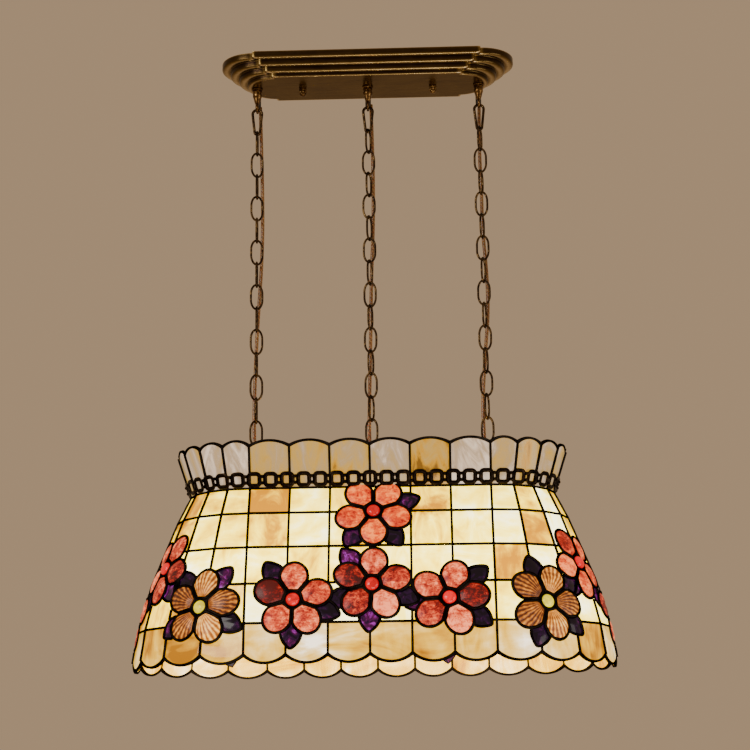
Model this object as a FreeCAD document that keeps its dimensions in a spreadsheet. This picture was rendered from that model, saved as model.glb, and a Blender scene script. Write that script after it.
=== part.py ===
"""Pendant lamp for a pool table: a stepped canopy, three chains with cords and a long leaded shell shade.

Frame: +Z up, X along the shade, Y across it. The origin is on the ceiling plane, over the canopy's middle,
so the whole lamp hangs below z = 0. Millimetres.
"""
import FreeCAD, Part
import math
import os

Vector = FreeCAD.Vector
UP = Vector(0, 0, 1)
doc = FreeCAD.newDocument("PoolTableLamp")

# ---- driving dimensions --------------------------------------------------------------------------
SIZES = {
    "chain_spacing": 156.5, "sheet_wall": 1.5, "panel_depth": 35, "rim_half_length": 159,
    "rim_half_width": 53.5, "tier_inset_long": 8.8, "tier_inset_wide": 3.27, "corner_notch": 6.2,
    "strap_length": 250, "strap_width": 22, "strap_thick": 2.5, "slot_spacing": 89, "slot_width": 5.5,
    "slot_length": 16, "stud_spacing": 184, "stud_radius": 2, "stud_length": 42, "stud_hole": 2.15,
    "nipple_radius": 5, "nipple_bore": 3.5, "nipple_hole": 5.15, "nipple_length": 26, "nut_radius": 8,
    "nut_height": 3.5, "washer_radius": 8.5, "washer_thick": 1.2, "seat_thick": 2.4, "seat_radius": 7.7,
    "collar_radius": 6.5, "collar_height": 12, "taper_height": 8, "taper_tip": 2.6,
    "loop_radius": 6, "loop_wire": 1.75, "cap_nut_radius": 5.25, "cap_nut_height": 8, "cap_ball_radius": 4,
    "hanger_wire": 1.9, "hanger_top_radius": 6.6, "hanger_foot_radius": 3.7, "first_joint": 100.5,
    "hanger_pitch": 33, "link_pitch": 32, "link_width": 19, "link_wire": 1.45, "link_stock": 3,
    "links_per_chain": 15, "touch_gap": 0.35, "cord_radius": 2.5, "cord_offset": 12.6, "sleeve_radius": 4,
    "sleeve_bore": 2.75, "sleeve_length": 25, "plan_straight": 311, "glass_thick": 2.2, "came_thick": 3.2,
    "came_half": 1.5, "scallop_belly": 10, "crown_arch": 7, "neck_ring_radius": 81.2, "neck_ring_wall": 2.5,
    "neck_ring_height": 14, "neck_ring_top": 613.7, "bar_width": 20, "bar_thick": 3, "petal_reach": 30,
    "petal_half_length": 20, "petal_half_width": 17.4, "button_radius": 8.5, "heart_radius": 16,
    "band_radius": 91.8, "band_height": 21, "band_middle": 611.5, "band_thick": 2, "band_loops": 56,
    "band_stock": 4.2, "band_gap": 2.6, "band_bar": 3.4, "band_tilt": 18.8, "holder_radius": 20,
    "bulb_radius": 29,
}
sheet = doc.addObject("Spreadsheet::Sheet", "sizes")
for row, (alias, value) in enumerate(SIZES.items(), 1):
    sheet.set(f"A{row}", alias)
    sheet.set(f"B{row}", str(value))
    sheet.setAlias(f"B{row}", alias)
doc.recompute()


def size(alias):
    return float(sheet.get(alias))


SPOTS = [-size("chain_spacing"), 0.0, size("chain_spacing")]
SIDES = ["left", "centre", "right"]


# ---- building helpers ----------------------------------------------------------------------------
def bound(kind, at=(0, 0, 0), turn=None, **sizes):
    """A Part primitive at a point, with properties bound to spreadsheet expressions."""
    piece = doc.addObject("Part::" + kind, kind.lower())
    piece.Placement = FreeCAD.Placement(Vector(*at), turn or FreeCAD.Rotation())
    for name, expression in sizes.items():
        if isinstance(expression, str):
            piece.setExpression(name, expression)
        else:
            setattr(piece, name, expression)
    return piece


def cut(base, *tools):
    """base less the tools, as Part::Cut objects."""
    for tool in tools:
        difference = doc.addObject("Part::Cut", "cut")
        difference.Base, difference.Tool = base, tool
        base = difference
    return base


def fuse(*pieces):
    whole = doc.addObject("Part::MultiFuse", "fuse")
    whole.Shapes = list(pieces)
    return whole


parts = {}


def keep(label, *pieces):
    """Names a sub-part: one object, or a compound of its separate solids."""
    if len(pieces) == 1:
        whole = pieces[0]
    else:
        whole = doc.addObject("Part::Compound", label)
        whole.Links = list(pieces)
    whole.Label = label
    parts[label] = whole
    return whole


def keep_shape(label, solids):
    """A sub-part whose solids are worked out below with Part's own functions."""
    feature = doc.addObject("Part::Feature", label)
    feature.Shape = Part.makeCompound(solids)
    feature.Placement = FreeCAD.Placement()
    feature.Label = label
    parts[label] = feature


def tube(x, y, z, height, outer, inner):
    """Upright tube whose foot is at z; the radii are expressions."""
    wall = bound("Cylinder", (x, y, z), Radius=outer, Height=height)
    clearance = bound("Cylinder", (x, y, z - 1), Radius=inner, Height=f"{height} + 2 mm")
    return cut(wall, clearance)


def block(centre, long, wide, tall):
    """Box about a centre, with plain sizes or expressions."""
    solid = bound("Box", (0, 0, 0), Length=long, Width=wide, Height=tall)
    for axis, side, middle in zip("xyz", (long, wide, tall), centre):
        half = f"({side}) / 2" if isinstance(side, str) else f"{side / 2} mm"
        solid.setExpression(f"Placement.Base.{axis}", f"{middle} mm - ({half})")
    return solid


# ---- ceiling strap, canopy and what holds them ---------------------------------------------------
STRAP_Z = -size("strap_thick") / 2
EARTH_X = -62.0


def make_strap():
    strap = block((0, 0, STRAP_Z), "sizes.strap_length * 1 mm", "sizes.strap_width * 1 mm",
                  "sizes.strap_thick * 1 mm")
    tools = []
    half_run = (size("slot_length") - size("slot_width")) / 2
    for side in (-1, 1):
        middle = side * size("slot_spacing") / 2
        tools.append(block((middle, 0, STRAP_Z), 2 * half_run, size("slot_width"), 8.0))
        for end in (-half_run, half_run):
            tools.append(bound("Cylinder", (middle + end, 0, -6), Radius="sizes.slot_width / 2", Height=8))
        stud_x = side * size("stud_spacing") / 2
        tools.append(bound("Cylinder", (stud_x, 0, -6), Radius="sizes.stud_hole", Height=8))
    tools.append(bound("Cylinder", (EARTH_X, 0, -6), Radius="sizes.stud_hole", Height=8))
    keep("ceiling_strap", cut(strap, fuse(*tools)))
    screw = bound("Cylinder", (EARTH_X, 0, -7), Radius="sizes.stud_radius", Height=6.5)
    head = bound("Cylinder", (EARTH_X, 0, -9.5), Radius=4, Height=2.6)
    keep("earth_screw", fuse(screw, head))


TIER_DEPTHS = [0, 10, 20, 29, size("panel_depth")]


def tier(step, low, high, inset):
    """One step of the pan: a long box with a round lobe on each end, narrower by the corner notch."""
    shrink_long = f"{step} * sizes.tier_inset_long + {inset}"
    shrink_wide = f"{step} * sizes.tier_inset_wide + {inset}"
    middle = (low + high) / 2
    core = block((0, 0, middle), f"2 * (sizes.rim_half_length - {shrink_long}) * 1 mm",
                 f"2 * (sizes.rim_half_width - {shrink_wide}) * 1 mm", high - low)
    lobes = []
    for side in (-1, 1):
        lobe = bound("Cylinder", (0, 0, low), Height=high - low,
                     Radius=f"sizes.rim_half_width - sizes.corner_notch - ({shrink_wide})")
        lobe.setExpression("Placement.Base.x", f"{side} * (sizes.rim_half_length - ({shrink_long})) * 1 mm")
        lobes.append(lobe)
    return fuse(core, *lobes)


def make_canopy():
    wall = size("sheet_wall")
    outer, inner = [], []
    for step in range(len(TIER_DEPTHS) - 1):
        high, low = -TIER_DEPTHS[step], -TIER_DEPTHS[step + 1]
        outer.append(tier(step, low, high, 0))
        inner.append(tier(step, low + wall, high + (1 if step == 0 else wall), wall))
    pan = cut(fuse(*outer), fuse(*inner))
    floor = -size("panel_depth") - 2
    holes = []
    for x in SPOTS:
        holes.append(bound("Cylinder", (x, 0, floor), Radius="sizes.nipple_hole", Height=6))
        holes.append(bound("Cylinder", (x, size("cord_offset"), floor), Height=6,
                           Radius="sizes.sleeve_radius + 0.05"))
    for side in (-1, 1):
        stud_x = side * size("stud_spacing") / 2
        holes.append(bound("Cylinder", (stud_x, 0, floor), Radius="sizes.stud_hole", Height=6))
    keep("canopy", cut(pan, fuse(*holes)))


def make_studs():
    studs, nuts, caps = [], [], []
    for side in (-1, 1):
        x = side * size("stud_spacing") / 2
        studs.append(bound("Cylinder", (x, 0, -1 - size("stud_length")), Radius="sizes.stud_radius",
                           Height="sizes.stud_length"))
        nut = bound("Prism", (x, 0, -6), Polygon=6, Circumradius=4.2, Height=3.2)
        nuts.append(cut(nut, bound("Cylinder", (x, 0, -7), Radius="sizes.stud_hole", Height=6)))
        barrel = bound("Cylinder", (x, 0, -35.1 - size("cap_nut_height")), Radius="sizes.cap_nut_radius",
                       Height="sizes.cap_nut_height")
        ball = bound("Sphere", (x, 0, -35.1 - size("cap_nut_height")), Radius="sizes.cap_ball_radius")
        thread = bound("Cylinder", (x, 0, -43.3), Radius="sizes.stud_hole", Height=10)
        caps.append(cut(fuse(barrel, ball), thread))
    keep("canopy_studs", *studs)
    keep("stud_nuts", *nuts)
    keep("cap_nuts", *caps)


def hex_nut(x, z):
    nut = bound("Prism", (x, 0, z), Polygon=6, Circumradius="sizes.nut_radius", Height="sizes.nut_height")
    return cut(nut, bound("Cylinder", (x, 0, z - 1), Radius="sizes.nipple_hole", Height=6))


def make_top_fittings():
    nipples, washers, nuts, seats, sleeves = [], [], [], [], []
    panel_inside = -size("panel_depth") + size("sheet_wall")
    for x in SPOTS:
        nipples.append(tube(x, 0, -48, "sizes.nipple_length * 1 mm", "sizes.nipple_radius",
                            "sizes.nipple_bore"))
        washers.append(tube(x, 0, panel_inside, "sizes.washer_thick * 1 mm", "sizes.washer_radius",
                            "sizes.nipple_hole"))
        nuts.append(hex_nut(x, panel_inside + size("washer_thick")))
        seats.append(tube(x, 0, -35 - size("seat_thick"), "sizes.seat_thick * 1 mm", "sizes.seat_radius",
                          "sizes.nipple_hole"))
        sleeve_foot = -35 - size("sleeve_length")
        sleeve = tube(x, size("cord_offset"), sleeve_foot, "(sizes.sleeve_length + 4) * 1 mm",
                      "sizes.sleeve_radius", "sizes.sleeve_bore")
        sleeves.append(sleeve)
    keep("canopy_nipples", *nipples)
    keep("canopy_washers", *washers)
    keep("canopy_nuts", *nuts)
    keep("collar_seats", *seats)
    keep("upper_cord_sleeves", *sleeves)


def loop_piece(x, face, sign, turn):
    """A bored collar, a taper and a ring. sign -1 hangs below the face, +1 stands on it; the ring looks along X
    when turn is true, else along Y."""
    low = face if sign > 0 else face - size("collar_height")
    collar = bound("Cylinder", (x, 0, low), Radius="sizes.collar_radius", Height="sizes.collar_height")
    tip = face + sign * (size("collar_height") + size("taper_height"))
    if sign > 0:
        taper = bound("Cone", (x, 0, tip - size("taper_height")), Radius1="sizes.collar_radius",
                      Radius2="sizes.taper_tip", Height="sizes.taper_height")
    else:
        taper = bound("Cone", (x, 0, tip), Radius1="sizes.taper_tip", Radius2="sizes.collar_radius",
                      Height="sizes.taper_height")
    ring_z = tip + sign * (size("loop_radius") + size("loop_wire") - 1.5)
    axis = Vector(1, 0, 0) if turn else Vector(0, 1, 0)
    ring = bound("Torus", (x, 0, ring_z), FreeCAD.Rotation(UP, axis), Radius1="sizes.loop_radius",
                 Radius2="sizes.loop_wire")
    bore_z = face - 10.8 if sign < 0 else face - 1
    bore = bound("Cylinder", (x, 0, bore_z), Radius="sizes.nipple_hole", Height=11.8)
    return cut(fuse(collar, taper, ring), bore), ring_z


def make_wiring_block():
    body = block((60, 0, -33.5 + 6), 34.0, 16.0, 12.0)
    wells = [bound("Cylinder", (60 + step, 0, -24.5), Radius=2.3, Height=4) for step in (-11, 0, 11)]
    keep("terminal_block", cut(body, *wells))
    screws = [bound("Cylinder", (60 + step, 0, -24.5), Radius=2, Height=2.4) for step in (-11, 0, 11)]
    keep("terminal_screws", *screws)


make_strap()
make_canopy()
make_studs()
make_top_fittings()
make_wiring_block()

# The upper ring hangs so that the hanger's bow rests in it at HANG_Z, and its foot sets the collar's place.
HANG_Z = -(size("first_joint") - size("hanger_pitch"))
UPPER_FACE = -35 - size("seat_thick") - 0.1
upper_loops = []
for x in SPOTS:
    piece, upper_ring_z = loop_piece(x, UPPER_FACE, -1, True)
    upper_loops.append(piece)
keep("canopy_loops", *upper_loops)
UPPER_REST = upper_ring_z - size("loop_radius") + size("loop_wire")


# ---- hangers and chains --------------------------------------------------------------------------
def swept(points_and_arcs, radius):
    """A round wire swept along a closed or open path of edges."""
    path = Part.Wire(points_and_arcs)
    start = path.OrderedVertexes[0].Point
    tangent = path.OrderedEdges[0].tangentAt(path.OrderedEdges[0].FirstParameter)
    section = Part.Wire([Part.makeCircle(radius, start, tangent)])
    return path.makePipeShell([section], True, True)


def hanger(x):
    """Pear-shaped link: a wide bow above, straight sides and a small bow below."""
    wide, small = size("hanger_top_radius"), size("hanger_foot_radius")
    high = UPPER_REST + size("touch_gap") + size("hanger_wire") - wide
    low = -size("first_joint") - size("hanger_wire") - size("touch_gap") + small
    lean = math.asin((wide - small) / (high - low))

    def on(radius, height, angle):
        return Vector(x + radius * math.cos(angle), 0, height + radius * math.sin(angle))

    right_top, left_top = on(wide, high, -lean), on(wide, high, math.pi + lean)
    right_low, left_low = on(small, low, -lean), on(small, low, math.pi + lean)
    edges = [Part.LineSegment(right_low, right_top).toShape(),
             Part.Arc(right_top, Vector(x, 0, high + wide), left_top).toShape(),
             Part.LineSegment(left_top, left_low).toShape(),
             Part.Arc(left_low, Vector(x, 0, low - small), right_low).toShape()]
    return swept(edges, size("hanger_wire"))


def link_shape():
    """Oval link in the XZ plane, its upper inner surface at z = 0."""
    stock, wire = size("link_stock"), size("link_wire")
    bend = (size("link_width") - stock) / 2
    high = stock / 2 - bend
    low = -size("link_pitch") - stock / 2 + bend
    edges = [Part.LineSegment(Vector(bend, 0, low), Vector(bend, 0, high)).toShape(),
             Part.Arc(Vector(bend, 0, high), Vector(0, 0, high + bend), Vector(-bend, 0, high)).toShape(),
             Part.LineSegment(Vector(-bend, 0, high), Vector(-bend, 0, low)).toShape(),
             Part.Arc(Vector(-bend, 0, low), Vector(0, 0, low - bend), Vector(bend, 0, low)).toShape()]
    return swept(edges, wire)


CHAIN_TWISTS = {"left": 14.0, "centre": -8.0, "right": -6.0}
CROSS_TURN = 76.0
keep_shape("hanger_links", [hanger(x) for x in SPOTS])
link = link_shape()
for x, side in zip(SPOTS, SIDES):
    links = []
    for place in range(int(size("links_per_chain"))):
        angle = CHAIN_TWISTS[side] + (CROSS_TURN if place % 2 == 0 else 0.0)
        copy = link.copy()
        copy.rotate(Vector(0, 0, 0), UP, angle)
        copy.translate(Vector(x, 0, -size("first_joint") - place * size("link_pitch")))
        links.append(copy)
    keep_shape("chain_" + side, links)
LAST_JOINT = -size("first_joint") - size("links_per_chain") * size("link_pitch")

# ---- cords ---------------------------------------------------------------------------------------
# Each cord hangs behind its chain: sideways offsets from the chain's line, depths behind it, heights.
CORD_ROUTES = {
    "left": [(3, 12.6, -66), (5, 12.6, -124), (6.5, 13.2, -184), (7, 12.8, -244), (5, 13, -304),
             (1, 12.8, -364), (-2, 13.2, -424), (-4, 12.8, -484), (-4, 13, -544), (-1, 12.6, -592)],
    "centre": [(4, 12.6, -66), (5.5, 12.6, -124), (6, 13.2, -184), (5, 12.8, -244), (2, 13, -304),
               (0.5, 12.8, -364), (-1, 13.2, -424), (-3, 12.8, -484), (-4, 13, -544), (-1, 12.6, -592)],
    "right": [(1, 12.6, -66), (-1, 12.6, -124), (1, 13.2, -184), (0.5, 12.8, -244), (5, 13, -304),
              (6, 12.8, -364), (0, 13.2, -424), (-5, 12.8, -484), (-5, 13, -544), (-1, 12.6, -592)],
}


def routed_tube(points, radius):
    """Straight runs joined by tangent arcs, each arc as large as its two runs allow."""
    edges, here, radii = [], points[0], []
    for before, corner, after in zip(points, points[1:], points[2:]):
        back, ahead = before - corner, after - corner
        turn = math.pi - back.getAngle(ahead)
        setback = 0.45 * min(back.Length, ahead.Length)
        radii.append(setback / math.tan(turn / 2))
        back.normalize()
        ahead.normalize()
        start, end = corner + back * setback, corner + ahead * setback
        inward = back + ahead
        inward.normalize()
        middle = corner + inward * (radii[-1] * (1 / math.cos(turn / 2) - 1))
        edges.append(Part.LineSegment(here, start).toShape())
        edges.append(Part.Arc(start, middle, end).toShape())
        here = end
    edges.append(Part.LineSegment(here, points[-1]).toShape())
    solid = swept(edges, radius)
    length = sum(edge.Length for edge in edges)
    ratio = solid.Volume / (math.pi * radius ** 2 * length)
    print(f"cord: length {length:.1f}, volume ratio {ratio:.4f}, radii {[round(r) for r in radii]}")
    return solid


for x, side in zip(SPOTS, SIDES):
    route = [Vector(x + dx, y, z) for dx, y, z in CORD_ROUTES[side]]
    keep_shape("cord_" + side, [routed_tube(route, size("cord_radius"))])

# ---- shade carrier, lower loops and lampholders --------------------------------------------------
BAR_TOP = -size("neck_ring_top") + size("bar_thick")


def stadium_ring(low, high, outer, inner):
    """A long ring with half-round ends, between two heights."""
    half = size("plan_straight") / 2

    def plate(radius):
        ends = [Vector(half, -radius, low), Vector(half, radius, low), Vector(-half, radius, low),
                Vector(-half, -radius, low)]
        edges = [Part.Arc(ends[0], Vector(half + radius, 0, low), ends[1]).toShape(),
                 Part.LineSegment(ends[1], ends[2]).toShape(),
                 Part.Arc(ends[2], Vector(-half - radius, 0, low), ends[3]).toShape(),
                 Part.LineSegment(ends[3], ends[0]).toShape()]
        return Part.Face(Part.Wire(edges)).extrude(Vector(0, 0, high - low))

    return plate(outer).cut(plate(inner))


def make_carrier():
    outer = size("neck_ring_radius")
    top = -size("neck_ring_top")
    keep_shape("neck_ring", [stadium_ring(top - size("neck_ring_height"), top, outer,
                                          outer - size("neck_ring_wall"))])
    bars, nipples, nuts, sleeves = [], [], [], []
    for x in SPOTS:
        bar = block((x, 0, top + size("bar_thick") / 2), "sizes.bar_width * 1 mm",
                    "2 * (sizes.neck_ring_radius - 0.6) * 1 mm", "sizes.bar_thick * 1 mm")
        hole = bound("Cylinder", (x, 0, top - 1), Radius="sizes.nipple_hole", Height=6)
        gland = bound("Cylinder", (x, size("cord_offset"), top - 1), Height=6,
                      Radius="sizes.sleeve_radius + 0.05")
        bars.append(cut(bar, hole, gland))
        nipples.append(tube(x, 0, top - 15, "27 mm", "sizes.nipple_radius", "sizes.nipple_bore"))
        nuts.append(hex_nut(x, top - size("nut_height")))
        sleeves.append(tube(x, size("cord_offset"), top - 3, "20 mm", "sizes.sleeve_radius",
                            "sizes.sleeve_bore"))
    keep("cross_bars", *bars)
    keep("shade_nipples", *nipples)
    keep("shade_nuts", *nuts)
    keep("lower_cord_sleeves", *sleeves)


def make_lower_loops():
    """The ring rests over the last link's bow, so its collar's foot sets how high the cross bars lie."""
    loops = []
    for x in SPOTS:
        piece, ring_z = loop_piece(x, BAR_TOP, 1, False)
        loops.append(piece)
    keep("shade_loops", *loops)
    return ring_z + size("loop_radius") - size("loop_wire")


def make_lampholders():
    top = -size("neck_ring_top") - size("nut_height")
    caps, shells, cores, bases, bulbs = [], [], [], [], []
    for x in SPOTS:
        cap_z = top - 12
        cap = bound("Cone", (x, 0, cap_z), Radius1="sizes.holder_radius", Radius2=9, Height=12)
        room = bound("Cone", (x, 0, cap_z - 0.01), Radius2=7.5, Height=10.5,
                     Radius1="sizes.holder_radius - 1.2")
        hole = bound("Cylinder", (x, 0, cap_z + 5), Radius="sizes.nipple_hole", Height=10)
        caps.append(cut(cap, room, hole))
        shells.append(tube(x, 0, cap_z - 38, "38 mm", "sizes.holder_radius", "sizes.holder_radius - 1"))
        core = tube(x, 0, cap_z - 36, "34 mm", "sizes.holder_radius - 1.3", "13.6 mm")
        floor = bound("Cylinder", (x, 0, cap_z - 8), Radius=14, Height=6)
        cores.append(fuse(core, floor))
        bases.append(bound("Cylinder", (x, 0, cap_z - 36), Radius=13.1, Height=26))
        globe_z = cap_z - 98
        globe = bound("Sphere", (x, 0, globe_z), Radius="sizes.bulb_radius")
        neck = bound("Cone", (x, 0, globe_z + 22), Radius1=19.5, Radius2=12.9, Height=40)
        air = bound("Sphere", (x, 0, globe_z), Radius="sizes.bulb_radius - 1")
        bulbs.append(cut(fuse(globe, neck), air))
    keep("holder_caps", *caps)
    keep("holder_shells", *shells)
    keep("holder_cores", *cores)
    keep("bulb_bases", *bases)
    keep("bulb_globes", *bulbs)


make_carrier()
LOWER_REST = make_lower_loops()
make_lampholders()

# ---- the leaded shade ----------------------------------------------------------------------------
# Horizontal seams from the crown's notches to the foot: height and the plan's corner radius there.
LEVELS = [(-569, 103), (-622, 85), (-657, 102.5), (-703, 121), (-751, 140), (-801, 153), (-840, 159)]
STRAIGHT_COLUMNS = 6
END_COLUMNS = 9
COLUMNS = 2 * (STRAIGHT_COLUMNS + END_COLUMNS)


def seam_point(column, radius, z):
    """Corner number column of the plan, counted from the front left and turning towards +X."""
    half = size("plan_straight") / 2
    side, step = divmod(column % COLUMNS, STRAIGHT_COLUMNS + END_COLUMNS)
    if step <= STRAIGHT_COLUMNS:
        x, y = -half + 2 * half * step / STRAIGHT_COLUMNS, -radius
    else:
        angle = -math.pi / 2 + math.pi * (step - STRAIGHT_COLUMNS) / END_COLUMNS
        x, y = half + radius * math.cos(angle), radius * math.sin(angle)
    return Vector(x, y, z) if side == 0 else Vector(-x, -y, z)


def facet(column, row, offset=0.0):
    """The four corners of one pane: upper left, upper right, lower right, lower left, seen from outside."""
    (high, wide), (low, wider) = LEVELS[row], LEVELS[row + 1]
    return [seam_point(column, wide + offset, high), seam_point(column + 1, wide + offset, high),
            seam_point(column + 1, wider + offset, low), seam_point(column, wider + offset, low)]


def facet_axes(corners):
    along = (corners[1] - corners[0]).normalize()
    upward = ((corners[0] + corners[1]) - (corners[2] + corners[3])).normalize()
    return along, upward, along.cross(upward).normalize()


def pane_outline(column, row, inset):
    """A pane's edge, inset from its seams; the foot row ends in a scallop and the crown row in an arch."""
    corners = facet(column, row)
    along, upward, outward = facet_axes(corners)
    middle = (corners[0] + corners[1] + corners[2] + corners[3]) * 0.25
    flat = [((c - middle).dot(along), (c - middle).dot(upward)) for c in corners]
    lines = []
    for (ax, ay), (bx, by) in zip(flat, flat[1:] + flat[:1]):
        length = math.hypot(bx - ax, by - ay)
        nx, ny = (ay - by) / length, (bx - ax) / length
        lines.append((nx, ny, nx * ax + ny * ay - inset))
    points = []
    for (a1, b1, c1), (a2, b2, c2) in zip(lines[-1:] + lines[:-1], lines):
        det = a1 * b2 - a2 * b1
        px, py = (c1 * b2 - c2 * b1) / det, (a1 * c2 - a2 * c1) / det
        points.append(middle + along * px + upward * py)
    edges = []
    for place, (start, end) in enumerate(zip(points, points[1:] + points[:1])):
        bulge = 0.0
        if row == 0 and place == 0:
            bulge = size("crown_arch")
        if row == len(LEVELS) - 2 and place == 2:
            bulge = -size("scallop_belly")
        if bulge:
            edges.append(Part.Arc(start, (start + end) * 0.5 + upward * bulge, end).toShape())
        else:
            edges.append(Part.LineSegment(start, end).toShape())
    return Part.Wire(edges), outward


def prism(wire, outward, thick):
    face = Part.Face(wire)
    face.translate(outward * (-thick / 2))
    return face.extrude(outward * thick)


def hull_plate(column, row, thick, spread=0.0):
    """The mitred slab of one pane between two offset skins; spread lengthens it past a scallop or arch."""
    outside, inside = facet(column, row, thick / 2), facet(column, row, -thick / 2)
    for corners in (outside, inside):
        for left, right in ((0, 3), (1, 2)):
            down = (corners[right] - corners[left]).normalize()
            if row == 0:
                corners[left] = corners[left] - down * spread
            if row == len(LEVELS) - 2:
                corners[right] = corners[right] + down * spread
    quads = [outside[::-1], inside]
    for a, b in ((0, 1), (1, 2), (2, 3), (3, 0)):
        quads.append([outside[a], outside[b], inside[b], inside[a]])
    faces = [Part.Face(Part.makePolygon(q + q[:1])) for q in quads]
    return Part.makeSolid(Part.makeShell(faces))


# ---- flowers -------------------------------------------------------------------------------------
# Place of each flower's middle in columns and rows, turn of its first petal, kind, its leaves' bearings.
HALF_FLOWERS = [
    (1.15, 4.42, 16, "coral", (125, 340, 268)),
    (3.05, 4.05, 14, "coral", (128, 266, 338, 206)),
    (4.90, 4.42, 4, "coral", (40, 325, 184)),
    (3.08, 1.98, -18, "coral", (18, 235, 305)),
    (7.32, 4.52, 68, "shell", (104, 32, 248, 320)),
    (8.95, 3.40, 50, "coral", (230, 300)),
    (10.50, 4.62, 18, "coral", (126, 54, 270)),
    (12.05, 3.40, 58, "coral", (240, 310)),
    (13.85, 4.55, 13, "shell", (60, 128, 215, 335)),
]
FLOWERS = [(u + turn, v, angle, kind, leaves) for turn in (0, STRAIGHT_COLUMNS + END_COLUMNS)
           for u, v, angle, kind, leaves in HALF_FLOWERS]
LEAF_FROM, LEAF_TO, LEAF_HALF = 22.0, 62.0, 12.5


def flower_frame(u, v):
    corners = facet(int(u), int(v))
    along, upward, outward = facet_axes(corners)
    across, down = u - int(u), v - int(v)
    top = corners[0] + (corners[1] - corners[0]) * across
    foot = corners[3] + (corners[2] - corners[3]) * across
    return top + (foot - top) * down, along, upward, outward


def petal_reach_at(direction, swell):
    """Distance from a petal's middle to its edge: an oval, trimmed by its neighbours and by the button."""
    reach = size("petal_reach")
    long, wide = size("petal_half_length") + swell, size("petal_half_width") + swell
    distance = long * wide / math.hypot(wide * math.cos(direction), long * math.sin(direction))
    for side in (-1, 1):
        slope = math.cos(direction - side * math.radians(126))
        if slope > 1e-6:
            border = reach * math.sin(math.radians(36)) - size("came_half") + swell
            distance = min(distance, border / slope)
    if math.cos(direction) < 0:
        keep_off = size("button_radius") + 2 * size("came_half") - swell
        distance = min(distance, (reach - keep_off) / -math.cos(direction))
    return distance


def petal_points(angle, swell, count=28):
    points = []
    for place in range(count):
        direction = 2 * math.pi * (place + 0.5) / count
        distance = petal_reach_at(direction, swell)
        x = size("petal_reach") + distance * math.cos(direction)
        y = distance * math.sin(direction)
        points.append((x * math.cos(angle) - y * math.sin(angle),
                       x * math.sin(angle) + y * math.cos(angle)))
    return points


def leaf_points(angle, swell, count=8):
    """A pointed leaf that runs outwards from behind the petals."""
    side = []
    for place in range(count + 1):
        share = place / count
        x = LEAF_FROM - swell + (LEAF_TO - LEAF_FROM + 2 * swell) * share
        side.append((x, (LEAF_HALF + swell) * math.sin(math.pi * share) ** 0.75))
    outline = side + [(x, -y) for x, y in side[-2:0:-1]]
    return [(x * math.cos(angle) - y * math.sin(angle), x * math.sin(angle) + y * math.cos(angle))
            for x, y in outline]


def disc_points(radius, count=20):
    return [(radius * math.cos(2 * math.pi * k / count), radius * math.sin(2 * math.pi * k / count))
            for k in range(count)]


def standing(points, frame, depth=40.0):
    """A prism through the shade on a flat outline in a flower's own plane."""
    middle, along, upward, outward = frame
    ring = [middle + along * x + upward * y - outward * (depth / 2) for x, y in points]
    return Part.Face(Part.makePolygon(ring + ring[:1])).extrude(outward * depth)


def shaped(solid, plates):
    """The part of a prism that lies in the shade's wall, joined over the seams that it crosses."""
    pieces = [plate.common(solid) for plate in plates if plate.BoundBox.intersect(solid.BoundBox)]
    pieces = [piece for piece in pieces if piece.Volume > 0.5]
    whole = pieces[0]
    if len(pieces) > 1:
        whole = pieces[0].fuse(pieces[1:])
    return [s for s in whole.removeSplitter().Solids if s.Volume > 8]


def less(shape, tools):
    """The solids that are left of a shape when the tools are taken from it."""
    solids = shape.Solids
    for tool in tools:
        solids = [rest for solid in solids for rest in solid.cut(tool).Solids]
    return solids


def make_flowers(glass_plates, came_plates):
    """Makes petals, buttons, leaves and their came, and returns the outlines that the panes leave free."""
    came = size("came_half")
    kinds = {"coral": [], "shell": [], "leaf": [], "red_button": [], "yellow_button": [], "came": []}
    openings = []
    for u, v, turn, kind, leaves in FLOWERS:
        frame = flower_frame(u, v)
        angles = [math.radians(turn + 72 * k) for k in range(5)]
        petals = [standing(petal_points(angle, 0), frame) for angle in angles]
        fat_petals = [standing(petal_points(angle, came), frame) for angle in angles]
        button = standing(disc_points(size("button_radius")), frame)
        heart_disc = standing(disc_points(size("heart_radius")), frame)
        heart = fat_petals[0].fuse(fat_petals[1:] + [heart_disc])
        leaf_cores = [standing(leaf_points(math.radians(a), 0), frame).cut(heart) for a in leaves]
        fat_leaves = [standing(leaf_points(math.radians(a), came), frame) for a in leaves]
        opening = heart.fuse(fat_leaves).removeSplitter()
        earlier = [o for o in openings if o.BoundBox.intersect(opening.BoundBox)]
        own = opening.cut(earlier) if earlier else opening
        lead = own.cut(petals + [button] + leaf_cores)
        openings.append(opening)
        for petal in petals:
            free = petal.cut(earlier) if earlier else petal
            kinds[kind] += shaped(free, glass_plates)
        for core in leaf_cores:
            free = core.cut(earlier) if earlier else core
            if free.Volume > 300:
                kinds["leaf"] += shaped(free, glass_plates)
        kinds["red_button" if kind == "coral" else "yellow_button"] += shaped(button, glass_plates)
        kinds["came"] += shaped(lead, came_plates)
    return kinds, openings


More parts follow.
